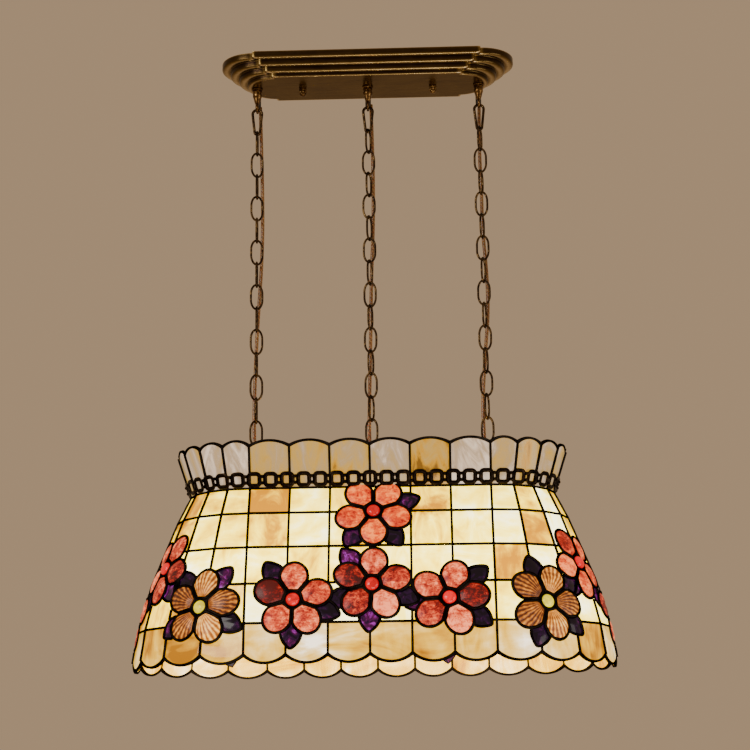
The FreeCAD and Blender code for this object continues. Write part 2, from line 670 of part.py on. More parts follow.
def make_shade():
    rows = range(len(LEVELS) - 1)
    thick, heavy, came = size("glass_thick"), size("came_thick"), size("came_half")
    spread = size("scallop_belly") + 3
    glass_plates = [hull_plate(c, r, thick, spread) for r in rows if r for c in range(COLUMNS)]
    came_plates = [hull_plate(c, r, heavy, spread) for r in rows if r for c in range(COLUMNS)]
    kinds, openings = make_flowers(glass_plates, came_plates)
    row_names = ["crown", "first", "second", "third", "fourth", "foot"]
    for row in rows:
        panes, leads = [], []
        for column in range(COLUMNS):
            wire, outward = pane_outline(column, row, came + 0.05)
            pane = prism(wire, outward, thick)
            window = prism(wire, outward, 4 * heavy)
            lead = hull_plate(column, row, heavy, spread).cut(window)
            if row in (0, len(LEVELS) - 2):
                rim_wire, outward = pane_outline(column, row, -came)
                slab = hull_plate(column, row, heavy, spread)
                lead = slab.common(prism(rim_wire, outward, 4 * heavy)).cut(window)
            tools = [o for o in openings if o.BoundBox.intersect(pane.BoundBox)] if row else []
            panes += [s for s in less(pane, tools) if s.Volume > 25]
            leads += [s for s in less(lead, tools) if s.Volume > 4]
        keep_shape(row_names[row] + "_row_panes", panes)
        keep_shape(row_names[row] + "_row_came", leads)
    keep_shape("coral_petals", kinds["coral"])
    keep_shape("ribbed_shell_petals", kinds["shell"])
    keep_shape("dark_leaves", kinds["leaf"])
    keep_shape("red_buttons", kinds["red_button"])
    keep_shape("yellow_buttons", kinds["yellow_button"])
    keep_shape("flower_came", kinds["came"])


def make_band():
    """Pierced band round the neck: rectangular loops with short bars between, leaning out with the crown."""
    half = size("plan_straight") / 2
    radius, count = size("band_radius"), int(size("band_loops"))
    whole = 4 * half + 2 * math.pi * radius
    pitch = whole / count
    tall, stock, thick = size("band_height"), size("band_stock"), size("band_thick")
    wide, run_over = pitch - size("band_gap"), pitch - 0.5
    bar = size("band_bar")
    frame = Part.makeBox(wide, thick, tall, Vector(-wide / 2, -thick / 2, -tall / 2))
    inner = Part.makeBox(wide - 2 * stock, 3 * thick, tall - 2 * stock,
                         Vector(-wide / 2 + stock, -1.5 * thick, stock - tall / 2))
    bars = [Part.makeBox(run_over, thick, bar, Vector(-run_over / 2, -thick / 2, z - bar / 2))
            for z in (-tall / 5, tall / 5)]
    loop = frame.fuse(bars).cut(inner).removeSplitter()
    loop.rotate(Vector(0, 0, 0), Vector(1, 0, 0), size("band_tilt"))
    loops = []
    for place in range(count):
        run = (place + 0.5) * pitch
        for side in (1, -1):
            lap = run - (0 if side > 0 else whole / 2)
            if 0 <= lap < whole / 2:
                if lap < 2 * half:
                    x, y, angle = -half + lap, -radius, 0.0
                else:
                    angle = (lap - 2 * half) / radius
                    x, y = half + radius * math.sin(angle), -radius * math.cos(angle)
                copy = loop.copy()
                turn = math.degrees(angle) + (0 if side > 0 else 180)
                copy.rotate(Vector(0, 0, 0), UP, turn)
                copy.translate(Vector(side * x, side * y, -size("band_middle")))
                loops.append(copy)
    keep_shape("neck_band", loops)


make_shade()
make_band()

# ---- checks and files ----------------------------------------------------------------------------
doc.recompute()
print(f"upper rest {UPPER_REST:.2f} (wanted {HANG_Z:.2f})")
print(f"lower rest {LOWER_REST:.2f} (last joint {LAST_JOINT:.2f})")
for thing in doc.Objects:
    if "Invalid" in thing.State or "Error" in thing.State:
        raise RuntimeError(f"{thing.Label} failed: {thing.State}")
for label, thing in parts.items():
    if thing.Shape.isNull() or not thing.Shape.isValid():
        raise RuntimeError(f"{label} has no valid shape")
os.makedirs("parts", exist_ok=True)
for label, thing in parts.items():
    thing.Shape.exportStep(f"parts/{label}.step")
    print(f"{label}: {len(thing.Shape.Solids)} solids, {thing.Shape.Volume / 1000:.1f} cm3")
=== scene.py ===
# %% [markdown]
# # A pool table lamp in leaded shell glass
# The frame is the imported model: every solid at its real size and place, in metres, hanging below the
# ceiling plane z = 0. This lesson dresses it. Nothing is moved or resized; each piece is either given a
# finish, or replaced by a finer mesh that lies where its solid lies.

# %% Load the frame
import math
import random
from collections import namedtuple

import bmesh
import bpy
from mathutils import Matrix, Vector, geometry


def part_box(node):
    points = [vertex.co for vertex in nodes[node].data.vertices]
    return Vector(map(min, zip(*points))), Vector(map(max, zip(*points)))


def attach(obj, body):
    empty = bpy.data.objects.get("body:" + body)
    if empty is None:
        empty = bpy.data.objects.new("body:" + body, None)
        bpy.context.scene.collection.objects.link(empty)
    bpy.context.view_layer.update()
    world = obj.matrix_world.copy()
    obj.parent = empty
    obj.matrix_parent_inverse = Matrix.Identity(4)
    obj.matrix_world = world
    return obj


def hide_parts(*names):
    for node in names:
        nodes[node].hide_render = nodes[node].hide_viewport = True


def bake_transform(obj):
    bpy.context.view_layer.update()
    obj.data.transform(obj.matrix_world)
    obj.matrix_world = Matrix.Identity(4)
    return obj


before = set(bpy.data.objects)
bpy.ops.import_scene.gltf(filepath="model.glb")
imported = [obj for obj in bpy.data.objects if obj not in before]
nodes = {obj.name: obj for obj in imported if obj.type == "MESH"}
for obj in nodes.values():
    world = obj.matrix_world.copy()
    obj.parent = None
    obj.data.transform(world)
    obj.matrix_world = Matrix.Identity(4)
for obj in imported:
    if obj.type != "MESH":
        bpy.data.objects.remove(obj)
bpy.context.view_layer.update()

MM = 0.001

# %% [markdown]
# ## The camera
# A lamp over a table is looked at from a little below, so the canopy shows its underside and the shade its
# front wall with a strip of the far rim. The camera stands about 2.3 m in front, level with a point just
# under the shade, and is tipped up by 13 degrees. A long lens keeps the perspective gentle.

# %% Camera
STAND = Vector((0.0724, -2.2853, -0.9886))
YAW, PITCH, ROLL = (math.radians(a) for a in (-1.68, 13.16, -0.71))
ahead = Vector((math.sin(YAW) * math.cos(PITCH), math.cos(YAW) * math.cos(PITCH), math.sin(PITCH)))
level = Vector((math.cos(YAW), -math.sin(YAW), 0))
over = level.cross(ahead)
across = level * math.cos(ROLL) + over * math.sin(ROLL)
upward = over * math.cos(ROLL) - level * math.sin(ROLL)
camera = bpy.data.objects.new("camera", bpy.data.cameras.new("camera"))
camera.data.lens = 82.8
camera.data.clip_start, camera.data.clip_end = 0.05, 60
camera.matrix_world = Matrix.Translation(STAND) @ Matrix((across, upward, -ahead)).transposed().to_4x4()
bpy.context.scene.collection.objects.link(camera)
bpy.context.scene.camera = camera
print("camera lens", camera.data.lens, "mm")

# %% [markdown]
# ## Shader maths as expressions
# A shader is a graph, and small graphs read best as formulas. The class below wraps one output socket;
# adding, multiplying or comparing wrapped sockets adds the Math nodes. Everything that isn't a plain sum
# comes from `node`, which takes a node type, its settings and the values or links of its inputs.

# %% Shader expressions
def plug_of(made, name):
    """A node's input by its number, as in i2, or else by its name."""
    return made.inputs[int(name[1:]) if name[0] == "i" and name[1:].isdigit() else name]


class Flow:
    """One output socket of a node tree, with arithmetic."""

    def __init__(self, tree, socket):
        self.tree, self.socket = tree, socket

    def node(self, kind, settings=None, out=0, **inputs):
        made = self.tree.nodes.new("ShaderNode" + kind)
        for name, value in (settings or {}).items():
            if name == "stops":
                ramp = made.color_ramp
                while len(ramp.elements) < len(value):
                    ramp.elements.new(0.5)
                for element, (place, colour) in zip(ramp.elements, value):
                    element.position, element.color = place, (*colour, 1)
            else:
                setattr(made, name, value)
        for name, value in inputs.items():
            plug = plug_of(made, name)
            if isinstance(value, Flow):
                self.tree.links.new(value.socket, plug)
            else:
                plug.default_value = value
        return Flow(self.tree, made.outputs[out])

    def output(self, number):
        """Another output of the node that this one belongs to."""
        return Flow(self.tree, self.socket.node.outputs[number])

    def maths(self, operation, other=0.0):
        return self.node("Math", {"operation": operation}, i0=self, i1=other)

    def __add__(self, other):
        return self.maths("ADD", other)

    def __mul__(self, other):
        return self.maths("MULTIPLY", other)

    def __sub__(self, other):
        return self.maths("SUBTRACT", other)

    def clipped(self, low, high, to_low, to_high):
        """The value carried from low..high to to_low..to_high, and held at the ends."""
        return self.node("MapRange", i0=self, i1=low, i2=high, i3=to_low, i4=to_high)

    def sharper(self, gain):
        """A value around a half, spread further from it."""
        return (self - 0.5) * gain + 0.5

    def ramp(self, *stops):
        return self.node("ValToRGB", {"stops": stops}, Fac=self)

    def tint(self, one, two):
        """A mix of two colours, this value being the factor."""
        return self.node("Mix", {"data_type": "RGBA"}, out=2, i0=self, i6=colour(one), i7=colour(two))

    def times(self, other):
        """This colour multiplied by another colour."""
        return self.node("Mix", {"data_type": "RGBA", "blend_type": "MULTIPLY"}, out=2, i0=1.0, i6=self,
                         i7=colour(other))


def colour(value):
    return value if isinstance(value, Flow) or len(value) == 4 else (*value, 1)


class Finish:
    """A material under construction: its tree, its shader and the object's own coordinates."""

    def __init__(self, name, **constants):
        self.material = bpy.data.materials.new(name)
        self.material.use_nodes = True
        tree = self.material.node_tree
        self.tree, self.shader = tree, tree.nodes["Principled BSDF"]
        self.start = Flow(tree, None)
        self.place = self.start.node("TexCoord", out=3)
        self.set(**constants)

    def set(self, **inputs):
        for name, value in inputs.items():
            plug = self.shader.inputs[name.replace("_", " ")]
            if isinstance(value, Flow):
                self.tree.links.new(value.socket, plug)
            else:
                plug.default_value = value

    def stretched(self, x, y, z, turn=(0, 0, 0)):
        """The object's coordinates, scaled: a pattern is drawn out along the axes that have small numbers."""
        return self.start.node("Mapping", Vector=self.place, Scale=(x, y, z), Rotation=turn)

    def cloud(self, scale, where=None, detail=4.0, rough=0.55, warp=0.0):
        return self.start.node("TexNoise", Vector=where or self.place, Scale=scale, Detail=detail,
                               Roughness=rough, Distortion=warp)

    def attribute(self, name):
        return self.start.node("Attribute", {"attribute_name": name}, out=2)

    def bump(self, height, strength=0.3, distance=0.001):
        self.set(Normal=self.start.node("Bump", Height=height, Strength=strength, Distance=distance))


print("shader helpers ready")

# %% [markdown]
# ## Metal finishes
# The canopy, loops and chains are antique brass: dark brown in the hollows, rubbed back to gold where a
# hand or a buffing wheel reached; on the canopy that gold and dark is also painted highlight and painted
# shade. Long, thin noise along the canopy gives its brushed stripes, a coarse cloud the uneven patina. The
# same idea with other colours gives dark bronze, zinc-plated steel and the bulb's thread.

# %% Metals
def patinated(name, dark, warm, bright, streak, gloss):
    metal = Finish(name, Metallic=1.0, Coat_Weight=0.0)
    brushed = metal.cloud(4.0, metal.stretched(*streak), detail=5, rough=0.6)
    patina = metal.cloud(38.0, detail=5, rough=0.62, warp=0.6)
    worn = brushed * 0.55 + patina * 0.45
    metal.set(Base_Color=worn.ramp((0.34, dark), (0.5, warm), (0.68, bright)),
              Roughness=worn.clipped(0.3, 0.7, gloss[1], gloss[0]))
    metal.bump(brushed * 0.6 + patina * 0.4, 0.12, 0.0004)
    return metal.material


dark_bronze = patinated("dark_bronze", (0.012, 0.006, 0.005), (0.045, 0.026, 0.013), (0.3, 0.2, 0.08),
                        streak=(90, 90, 60), gloss=(0.2, 0.4))
turned_brass = patinated("turned_brass", (0.04, 0.018, 0.008), (0.14, 0.075, 0.025), (0.5, 0.32, 0.12),
                         streak=(30, 30, 260), gloss=(0.16, 0.34))
band_bronze = patinated("band_bronze", (0.004, 0.003, 0.003), (0.012, 0.008, 0.006), (0.05, 0.03, 0.015),
                        streak=(60, 60, 60), gloss=(0.3, 0.5))
plated_steel = patinated("plated_steel", (0.3, 0.29, 0.27), (0.46, 0.45, 0.43), (0.62, 0.61, 0.58),
                         streak=(60, 60, 60), gloss=(0.28, 0.45))
bulb_metal = patinated("bulb_metal", (0.55, 0.55, 0.53), (0.7, 0.7, 0.68), (0.85, 0.85, 0.82),
                       streak=(40, 40, 200), gloss=(0.2, 0.35))


def pressed_brass():
    """The canopy's finish. An attribute is near 1 on its rounded edges, where the patina is rubbed off, and
    near 0 in the hollows; it also carries painted highlight on the edges and notch corners and painted shade
    on the risers."""
    metal = Finish("antique_brass", Metallic=1.0)
    brushed = metal.cloud(4.0, metal.stretched(5, 240, 240), detail=5, rough=0.6)
    patina = metal.cloud(26.0, detail=5, rough=0.62, warp=0.6)
    # Rubbed patina with painted highlight and painted shade from the attribute, plus brushing and patina
    # noise; the top stop is a near-white painted highlight.
    worn = metal.attribute("shoulder") * 0.62 + brushed * 0.26 + patina * 0.16 - 0.02
    metal.set(Base_Color=worn.ramp((0.16, (0.014, 0.007, 0.006)), (0.36, (0.105, 0.066, 0.022)),
                                   (0.58, (0.33, 0.23, 0.08)), (0.86, (0.95, 0.8, 0.5))),
              Roughness=brushed.clipped(0.3, 0.7, 0.32, 0.18))
    metal.bump(brushed * 0.7 + patina * 0.3, 0.08, 0.0003)
    return metal.material


antique_brass = pressed_brass()


def soldered():
    """Black patina on tin solder: nearly black, lumpy, with a dull silver where it is rubbed."""
    solder = Finish("black_solder", Metallic=1.0, Specular_Tint=(0.03, 0.026, 0.024, 1))
    lumps = solder.cloud(260.0, detail=3, rough=0.5)
    rubbed = solder.cloud(60.0, detail=4)
    solder.set(Base_Color=rubbed.ramp((0.4, (0.006, 0.0045, 0.004)), (0.72, (0.03, 0.024, 0.02))),
               Roughness=lumps.clipped(0.3, 0.7, 0.42, 0.62))
    solder.bump(lumps, 0.15, 0.0005)
    return solder.material


black_solder = soldered()
print("metals:", antique_brass.name, dark_bronze.name, black_solder.name)

# %% [markdown]
# ## Plastics, porcelain and the cord
# Small parts inside still deserve a real surface: a fine moulded grain on plastic, a faint waviness under
# porcelain glaze. The cord is clear amber plastic over twisted wires, so its colour swings between gold and
# brown along its length.

# %% Plastics and cord
def moulded(name, shade, light, rough, grain=900.0, coat=0.0):
    plastic = Finish(name, Coat_Weight=coat, Coat_Roughness=0.08)
    grains = plastic.cloud(grain, detail=2)
    drift = plastic.cloud(30.0)
    plastic.set(Base_Color=drift.tint(shade, light),
                Roughness=grains.clipped(0.3, 0.7, rough - 0.06, rough + 0.08))
    plastic.bump(grains, 0.15, 0.0002)
    return plastic.material


black_plastic = moulded("black_plastic", (0.012, 0.011, 0.01), (0.03, 0.027, 0.024), 0.42)
white_plastic = moulded("white_plastic", (0.68, 0.66, 0.6), (0.8, 0.78, 0.72), 0.4)
porcelain = moulded("porcelain", (0.72, 0.7, 0.64), (0.82, 0.8, 0.75), 0.16, grain=120.0, coat=0.6)


def amber_cord():
    cord = Finish("amber_cord", Coat_Weight=0.7, Coat_Roughness=0.1, Subsurface_Weight=0.15)
    twist = cord.start.node("TexWave", {"bands_direction": "DIAGONAL"}, Vector=cord.place, Scale=95.0,
                            Distortion=1.2, Detail=2.0)
    stain = cord.cloud(30.0, detail=3)
    glow = twist * 0.25 + stain * 0.75
    cord.set(Base_Color=glow.ramp((0.28, (0.1, 0.048, 0.01)), (0.5, (0.19, 0.1, 0.024)),
                                  (0.75, (0.36, 0.22, 0.07))),
             Roughness=stain.clipped(0.3, 0.7, 0.22, 0.4))
    cord.bump(twist, 0.25, 0.0004)
    return cord.material


amber = amber_cord()
print("plastics:", black_plastic.name, porcelain.name, amber.name)

# %% [markdown]
# ## Lit glass and shell
# Three bulbs light the shade from inside. Opal glass scatters that light so well that a pane looks as if it
# shone by itself, so the glow is painted into the pane's own emission: marbled cream, yellow and amber,
# stronger near a bulb and weaker towards the foot. Petals, leaves and buttons get the same painted glow in
# their emission. Each pane carries two numbers of its own, `tone` and `grain`, as attributes, and they turn
# and tint its marbling, because every pane was cut from another place of the sheet. A third one, `inner`,
# is 1 on the faces that look into the shade, which the bulbs light directly, and there the painted glow is
# stronger.

# %% Glass finishes
GLOBE_RADIUS = 0.029
BULB_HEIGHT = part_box("bulb_globes")[0][2] + GLOBE_RADIUS
GLOW_REACH = 0.14


def marbled(glass):
    """A drawn-out cloud that runs another way on each pane."""
    lean = glass.cloud(34.0, glass.stretched(1.0, 1.0, 0.28, (0, 0.5, 0)), detail=6, rough=0.6, warp=1.6)
    counter = glass.cloud(30.0, glass.stretched(0.45, 0.6, 1.2, (0, -0.8, 0)), detail=5, warp=1.1)
    return glass.start.node("Mix", {"data_type": "FLOAT"}, i0=glass.attribute("grain"), i2=lean, i3=counter)


def nearness(glass):
    """1 beside a bulb, falling to 0 far below or above the row of bulbs."""
    height = glass.start.node("SeparateXYZ", Vector=glass.place, out=2)
    gap = (height - BULB_HEIGHT).maths("ABSOLUTE")
    return gap.clipped(0.0, GLOW_REACH, 1.0, 0.0)


def shell_glass(name, stops, glow):
    """An opal pane. stops are its marbling's colours from dark to light, and glow its emission strength."""
    glass = Finish(name, Coat_Weight=0.5, Coat_Roughness=0.05, Roughness=0.16, Emission_Strength=glow)
    veins = marbled(glass)
    sweep = glass.cloud(19.0, detail=2, warp=0.8)
    mixed = (veins.sharper(2.2) - 0.5) * 0.7 + (sweep - 0.5) * 0.9 + glass.attribute("tone")
    body = mixed.ramp(*stops)
    lit = nearness(glass).clipped(0.0, 1.0, 0.74, 1.0) * (glass.attribute("inner") * 0.8 + 1.0)
    shine = body.times(glass.start.node("CombineColor", i0=lit, i1=lit, i2=lit))
    glass.set(Base_Color=body.times((0.5, 0.48, 0.45)), Emission_Color=shine)
    glass.bump(veins * 0.7 + glass.cloud(140.0) * 0.3, 0.12, 0.0008)
    return glass.material


cream_glass = shell_glass("cream_shell_glass", [(0.04, (0.29, 0.11, 0.0)), (0.2, (0.42, 0.19, 0.0)),
                                                (0.38, (0.7, 0.42, 0.0)), (0.56, (0.9, 0.62, 0.02)),
                                                (0.74, (1.0, 0.79, 0.12)), (0.95, (1.0, 0.92, 0.5))], 5.2)
foot_glass = shell_glass("foot_shell_glass", [(0.04, (0.24, 0.085, 0.0)), (0.2, (0.4, 0.17, 0.003)),
                                              (0.4, (0.56, 0.3, 0.015)), (0.58, (0.66, 0.4, 0.07)),
                                              (0.76, (0.76, 0.54, 0.22)), (0.95, (1.0, 0.86, 0.66))], 3.2)


def crown_finish():
    """The crown stands above the bulbs, so little light reaches it. Its colour runs in upright streaks."""
    glass = Finish("crown_shell_glass", Coat_Weight=0.4, Coat_Roughness=0.05, Roughness=0.2,
                   Emission_Strength=1.1)
    sideways = glass.start.node("SeparateXYZ", Vector=glass.place)
    depth, height = sideways.output(1), sideways.output(2)
    leaning = sideways + height * (glass.attribute("grain") * 0.9 - 0.45)
    where = glass.start.node("CombineXYZ", i0=leaning, i1=depth, i2=height * 0.16)
    streaks = glass.cloud(52.0, where, detail=6, rough=0.62, warp=0.7)
    mixed = (streaks.sharper(2.2) - 0.5) * 0.7 + glass.attribute("tone") * 0.8 + 0.08
    body = mixed.ramp((0.02, (0.2, 0.09, 0.01)), (0.18, (0.56, 0.27, 0.012)), (0.36, (0.52, 0.32, 0.07)),
                      (0.52, (0.44, 0.3, 0.13)), (0.68, (0.46, 0.34, 0.22)), (0.92, (0.8, 0.64, 0.48)))
    # Painted glow: a weak emission stands in for the little bulb light that reaches the crown.
    glass.set(Base_Color=body.times((0.55, 0.5, 0.46)), Emission_Color=body)
    glass.bump(streaks, 0.12, 0.0008)
    return glass.material


crown_glass = crown_finish()


def mottled_shell():
    """Coral shell, mottled and finely grained. `tone` runs from dark red to pink, `warm` turns it orange."""
    glass = Finish("coral_shell", Coat_Weight=0.25, Coat_Roughness=0.25, Roughness=0.42,
                   Emission_Strength=1.9)
    mottle = glass.cloud(240.0, detail=6, rough=0.75, warp=0.9)
    blotch = glass.cloud(75.0, detail=4, rough=0.6, warp=0.6)
    veins = glass.cloud(70.0, glass.stretched(1.0, 1.0, 3.2, (0, 0.6, 0)), detail=4, warp=1.4)
    spots = (mottle.sharper(3.0) + blotch.sharper(3.0) * 1.1 + veins.sharper(2.2) * 0.7 - 1.4) * 0.48
    mixed = spots + glass.attribute("tone") * 0.62 + 0.18
    rosy = mixed.ramp((0.02, (0.03, 0.001, 0.002)), (0.18, (0.13, 0.002, 0.003)),
                      (0.34, (0.28, 0.012, 0.005)), (0.5, (0.46, 0.045, 0.014)),
                      (0.66, (0.68, 0.11, 0.036)), (0.86, (1.0, 0.25, 0.11)))
    orange = mixed.ramp((0.1, (0.2, 0.004, 0.001)), (0.34, (0.44, 0.02, 0.002)),
                        (0.55, (0.66, 0.07, 0.003)), (0.8, (0.95, 0.2, 0.01)))
    body = glass.attribute("warm").tint(rosy, orange)
    # Painted glow: the emission stands in for the bulbs' light shining through the shell.
    glass.set(Base_Color=body.times((0.5, 0.5, 0.5)), Emission_Color=body)
    glass.bump(mottle * 0.6 + veins * 0.4, 0.35, 0.001)
    return glass.material


coral_glass = mottled_shell()


def ribbed_shell():
    """Brown scallop: dark ribs and light gaps fan out from the hinge. `fan` is a point's bearing from the
    hinge in radians and `run` its distance from it in metres."""
    glass = Finish("ribbed_brown_shell", Coat_Weight=0.4, Coat_Roughness=0.15, Roughness=0.32,
                   Emission_Strength=1.7)
    wobble = glass.cloud(120.0, detail=2) * 0.12
    rib = ((glass.attribute("fan") + wobble) * 40.0).maths("COSINE") * 0.5 + 0.5
    edge = glass.attribute("run").clipped(0.004, 0.03, 0.25, 1.0)
    stain = glass.cloud(80.0, detail=5, rough=0.65, warp=0.7)
    rings = (glass.attribute("run") * 900.0).maths("SINE") * 0.5 + 0.5
    mixed = (rib - 0.5) * edge * 0.42 + (stain.sharper(2.2) - 0.5) * 0.4 + (rings - 0.5) * 0.08
    mixed = mixed + glass.attribute("tone") * 0.5 + 0.2
    body = mixed.ramp((0.06, (0.04, 0.007, 0.002)), (0.26, (0.12, 0.028, 0.006)),
                      (0.44, (0.31, 0.085, 0.008)), (0.62, (0.6, 0.21, 0.02)), (0.86, (1.0, 0.55, 0.14)))
    # Painted glow: the emission stands in for the bulbs' light shining through the shell.
    glass.set(Base_Color=body.times((0.5, 0.5, 0.5)), Emission_Color=body)
    glass.bump(rib * edge * 0.8 + stain * 0.2, 0.7, 0.0012)
    return glass.material


brown_shell = ribbed_shell()


def jewel(name, stops, glow, gloss=0.06, scale=60.0, coat=0.6):
    """Clear coloured glass with some depth: leaves, buttons and, whiter and brighter, the bulbs."""
    glass = Finish(name, Coat_Weight=coat, Coat_Roughness=0.08, Roughness=gloss, Emission_Strength=glow)
    depth = glass.cloud(scale, detail=4, rough=0.6, warp=1.0).sharper(1.5)
    body = (depth * 0.7 + glass.attribute("tone") * 0.3).ramp(*stops)
    # Painted glow: for leaves and buttons the emission stands in for the bulbs' light behind them; for the
    # bulbs it is their own light.
    glass.set(Base_Color=body, Emission_Color=body, Specular_IOR_Level=0.35)
    glass.bump(glass.cloud(scale * 2), 0.15, 0.0006)
    return glass.material


amethyst = jewel("amethyst_glass", [(0.38, (0.003, 0.001, 0.006)), (0.52, (0.016, 0.002, 0.028)),
                                    (0.63, (0.1, 0.004, 0.07)), (0.78, (0.42, 0.05, 0.6))], 0.7, gloss=0.14,
                 scale=85.0, coat=0.15)
ruby = jewel("ruby_glass", [(0.25, (0.4, 0.001, 0.004)), (0.55, (0.9, 0.001, 0.008)),
                            (0.85, (1.0, 0.02, 0.03))], 0.75)
citrine = jewel("citrine_glass", [(0.25, (0.5, 0.4, 0.01)), (0.55, (0.9, 0.76, 0.01)),
                                  (0.85, (1.0, 0.92, 0.15))], 1.2)
lit_bulb = jewel("frosted_bulb", [(0.2, (1.0, 0.8, 0.5)), (0.8, (1.0, 0.9, 0.7))], 14.0, gloss=0.4,
                 scale=20.0)
print("glass finishes:", cream_glass.name, coral_glass.name, brown_shell.name, amethyst.name)

# %% [markdown]
# ## Handing a mesh to the frame
# Most pieces end the same way: one mesh at the origin, shaded smooth over gentle edges, riding on a body
# and standing for one or more solids of the frame.

# %% Piece helpers
def piece(name, mesh, material, body, slot, *stands_for, smooth=40.0):
    thing = bpy.data.objects.new(name, mesh)
    bpy.context.scene.collection.objects.link(thing)
    mesh.materials.clear()
    mesh.materials.append(material)
    mesh.shade_smooth()
    mesh.set_sharp_from_angle(angle=math.radians(smooth))
    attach(thing, body)
    if stands_for:
        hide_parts(*stands_for)
    return thing


def as_mesh(name, shape):
    mesh = bpy.data.meshes.new(name)
    shape.to_mesh(mesh)
    shape.free()
    return mesh


def from_bmesh(name, shape):
    """A mesh built here, with its faces turned outwards."""
    bmesh.ops.recalc_face_normals(shape, faces=shape.faces)
    return as_mesh(name, shape)


def from_tree(name, holder):
    """The result of an object's modifiers as a plain mesh, the object being thrown away."""
    graph = bpy.context.evaluated_depsgraph_get()
    mesh = bpy.data.meshes.new_from_object(holder.evaluated_get(graph))
    mesh.name = name
    bpy.data.objects.remove(holder)
    return mesh


def skin(shape, rings, closed_path=False, caps=True):
    """Joins rings of points with quads, and closes the ends."""
    rows = [[shape.verts.new(p) for p in ring] for ring in rings]
    count = len(rows[0])
    pairs = list(zip(rows, rows[1:])) + ([(rows[-1], rows[0])] if closed_path else [])
    for a, b in pairs:
        for k in range(count):
            n = (k + 1) % count
            shape.faces.new((a[k], a[n], b[n], b[k]))
    if caps and not closed_path:
        shape.faces.new(rows[0][::-1])
        shape.faces.new(rows[-1])
    return rows


KNURL_FROM = 0.93


def turned(shape, profile, centre, segments=40, knurl=0.0):
    """A lathe: profile is radius and height, and knurl the depth of the grooves along the widest part."""
    centre = Vector(centre)
    widest = max(r for r, z in profile)
    rings = []
    for radius, height in profile:
        ring = []
        for k in range(segments):
            angle = 2 * math.pi * k / segments
            reach = radius - (knurl * (k % 2) if radius > KNURL_FROM * widest else 0.0)
            ring.append(centre + Vector((reach * math.cos(angle), reach * math.sin(angle), height)))
        rings.append(ring)
    skin(shape, rings)


def wire_round(shape, points, radius, sides, closed=True):
    """A round wire along points, with frames carried from point to point so that it never twists."""
    count = len(points)
    rings, side = [], None
    for k, point in enumerate(points):
        before = points[(k - 1) % count] if closed or k else points[k]
        after = points[(k + 1) % count] if closed or k < count - 1 else points[k]
        along = (after - before).normalized()
        if side is None:
            side = along.orthogonal().normalized()
        side = (side - along * side.dot(along)).normalized()
        other = along.cross(side)
        rings.append([point + (side * math.cos(a) + other * math.sin(a)) * radius
                      for a in (2 * math.pi * s / sides for s in range(sides))])
    if closed:
        drift = (rings[0][0] - points[0]).normalized()
        last = (rings[-1][0] - points[-1]).normalized()
        along = (points[0] - points[-1]).normalized()
        turn = math.atan2(drift.dot(along.cross(last)), drift.dot(last))
        for k, ring in enumerate(rings):
            axis = (points[(k + 1) % count] - points[k - 1]).normalized()
            spin = Matrix.Rotation(turn * k / (count - 1), 3, axis)
            rings[k] = [points[k] + spin @ (p - points[k]) for p in ring]
    skin(shape, rings, closed_path=closed)


SPOTS = [-0.1565, 0.0, 0.1565]
SIDES = ["left", "centre", "right"]
print("helpers ready; lamp stations at", SPOTS)

# %% [markdown]
# ## The cords
# Each chain carries its own cord. It leaves the canopy through a sleeve, hangs behind the links, drifts
# from one side of the chain to the other, and goes into a sleeve on the shade's cross bar. A cord under its
# own weight is one smooth line, so its route is a few control points of a NURBS curve and its skin is a
# tube along that curve.

# %% Cords
# Each route is in millimetres: beside its station, in front of or behind it, and height.
CORD_ROUTES = {
    "left": [(3, 12.6, -57), (5, 12.6, -124), (6.5, 13.2, -184), (7, 12.8, -244), (5, 13, -304),
             (1, 12.8, -364), (-2, 13.2, -424), (-4, 12.8, -484), (-4, 13, -544), (-1, 12.6, -597)],
    "centre": [(4, 12.6, -57), (5.5, 12.6, -124), (6, 13.2, -184), (5, 12.8, -244), (2, 13, -304),
               (0.5, 12.8, -364), (-1, 13.2, -424), (-3, 12.8, -484), (-4, 13, -544), (-1, 12.6, -597)],
    "right": [(1, 12.6, -57), (-1, 12.6, -124), (1, 13.2, -184), (0.5, 12.8, -244), (5, 13, -304),
              (6, 12.8, -364), (0, 13.2, -424), (-5, 12.8, -484), (-5, 13, -544), (-1, 12.6, -597)],
}
CORD_DIAMETER = 0.005


def smooth_line(points):
    """Points read from the NURBS spline that has the route as its control points."""
    curve = bpy.data.curves.new("route", "CURVE")
    curve.dimensions = "3D"
    curve.resolution_u = 10
    spline = curve.splines.new("NURBS")
    spline.points.add(len(points) - 1)
    for knot, place in zip(spline.points, points):
        knot.co = (*place, 1)
    spline.order_u = 3
    spline.use_endpoint_u = True
    holder = bpy.data.objects.new("route", curve)
    bpy.context.scene.collection.objects.link(holder)
    mesh = from_tree("route", holder)
    return [v.co.copy() for v in mesh.vertices]


for x, side in zip(SPOTS, SIDES):
    line = smooth_line([Vector((x + a * MM, b * MM, c * MM)) for a, b, c in CORD_ROUTES[side]])
    shape = bmesh.new()
    wire_round(shape, line, CORD_DIAMETER / 2, 14, closed=False)
    name = "amber_cord_" + side
    cord = bpy.data.objects.new(name, from_bmesh(name, shape))
    bpy.context.scene.collection.objects.link(cord)
    cord.data.materials.append(amber)
    cord.data.shade_smooth()
    length = sum((b - a).length for a, b in zip(line, line[1:]))
    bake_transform(cord)
    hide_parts("cord_" + side)
    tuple(line[0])
    print(f"cord {side}: {length * 1000:.0f} mm")

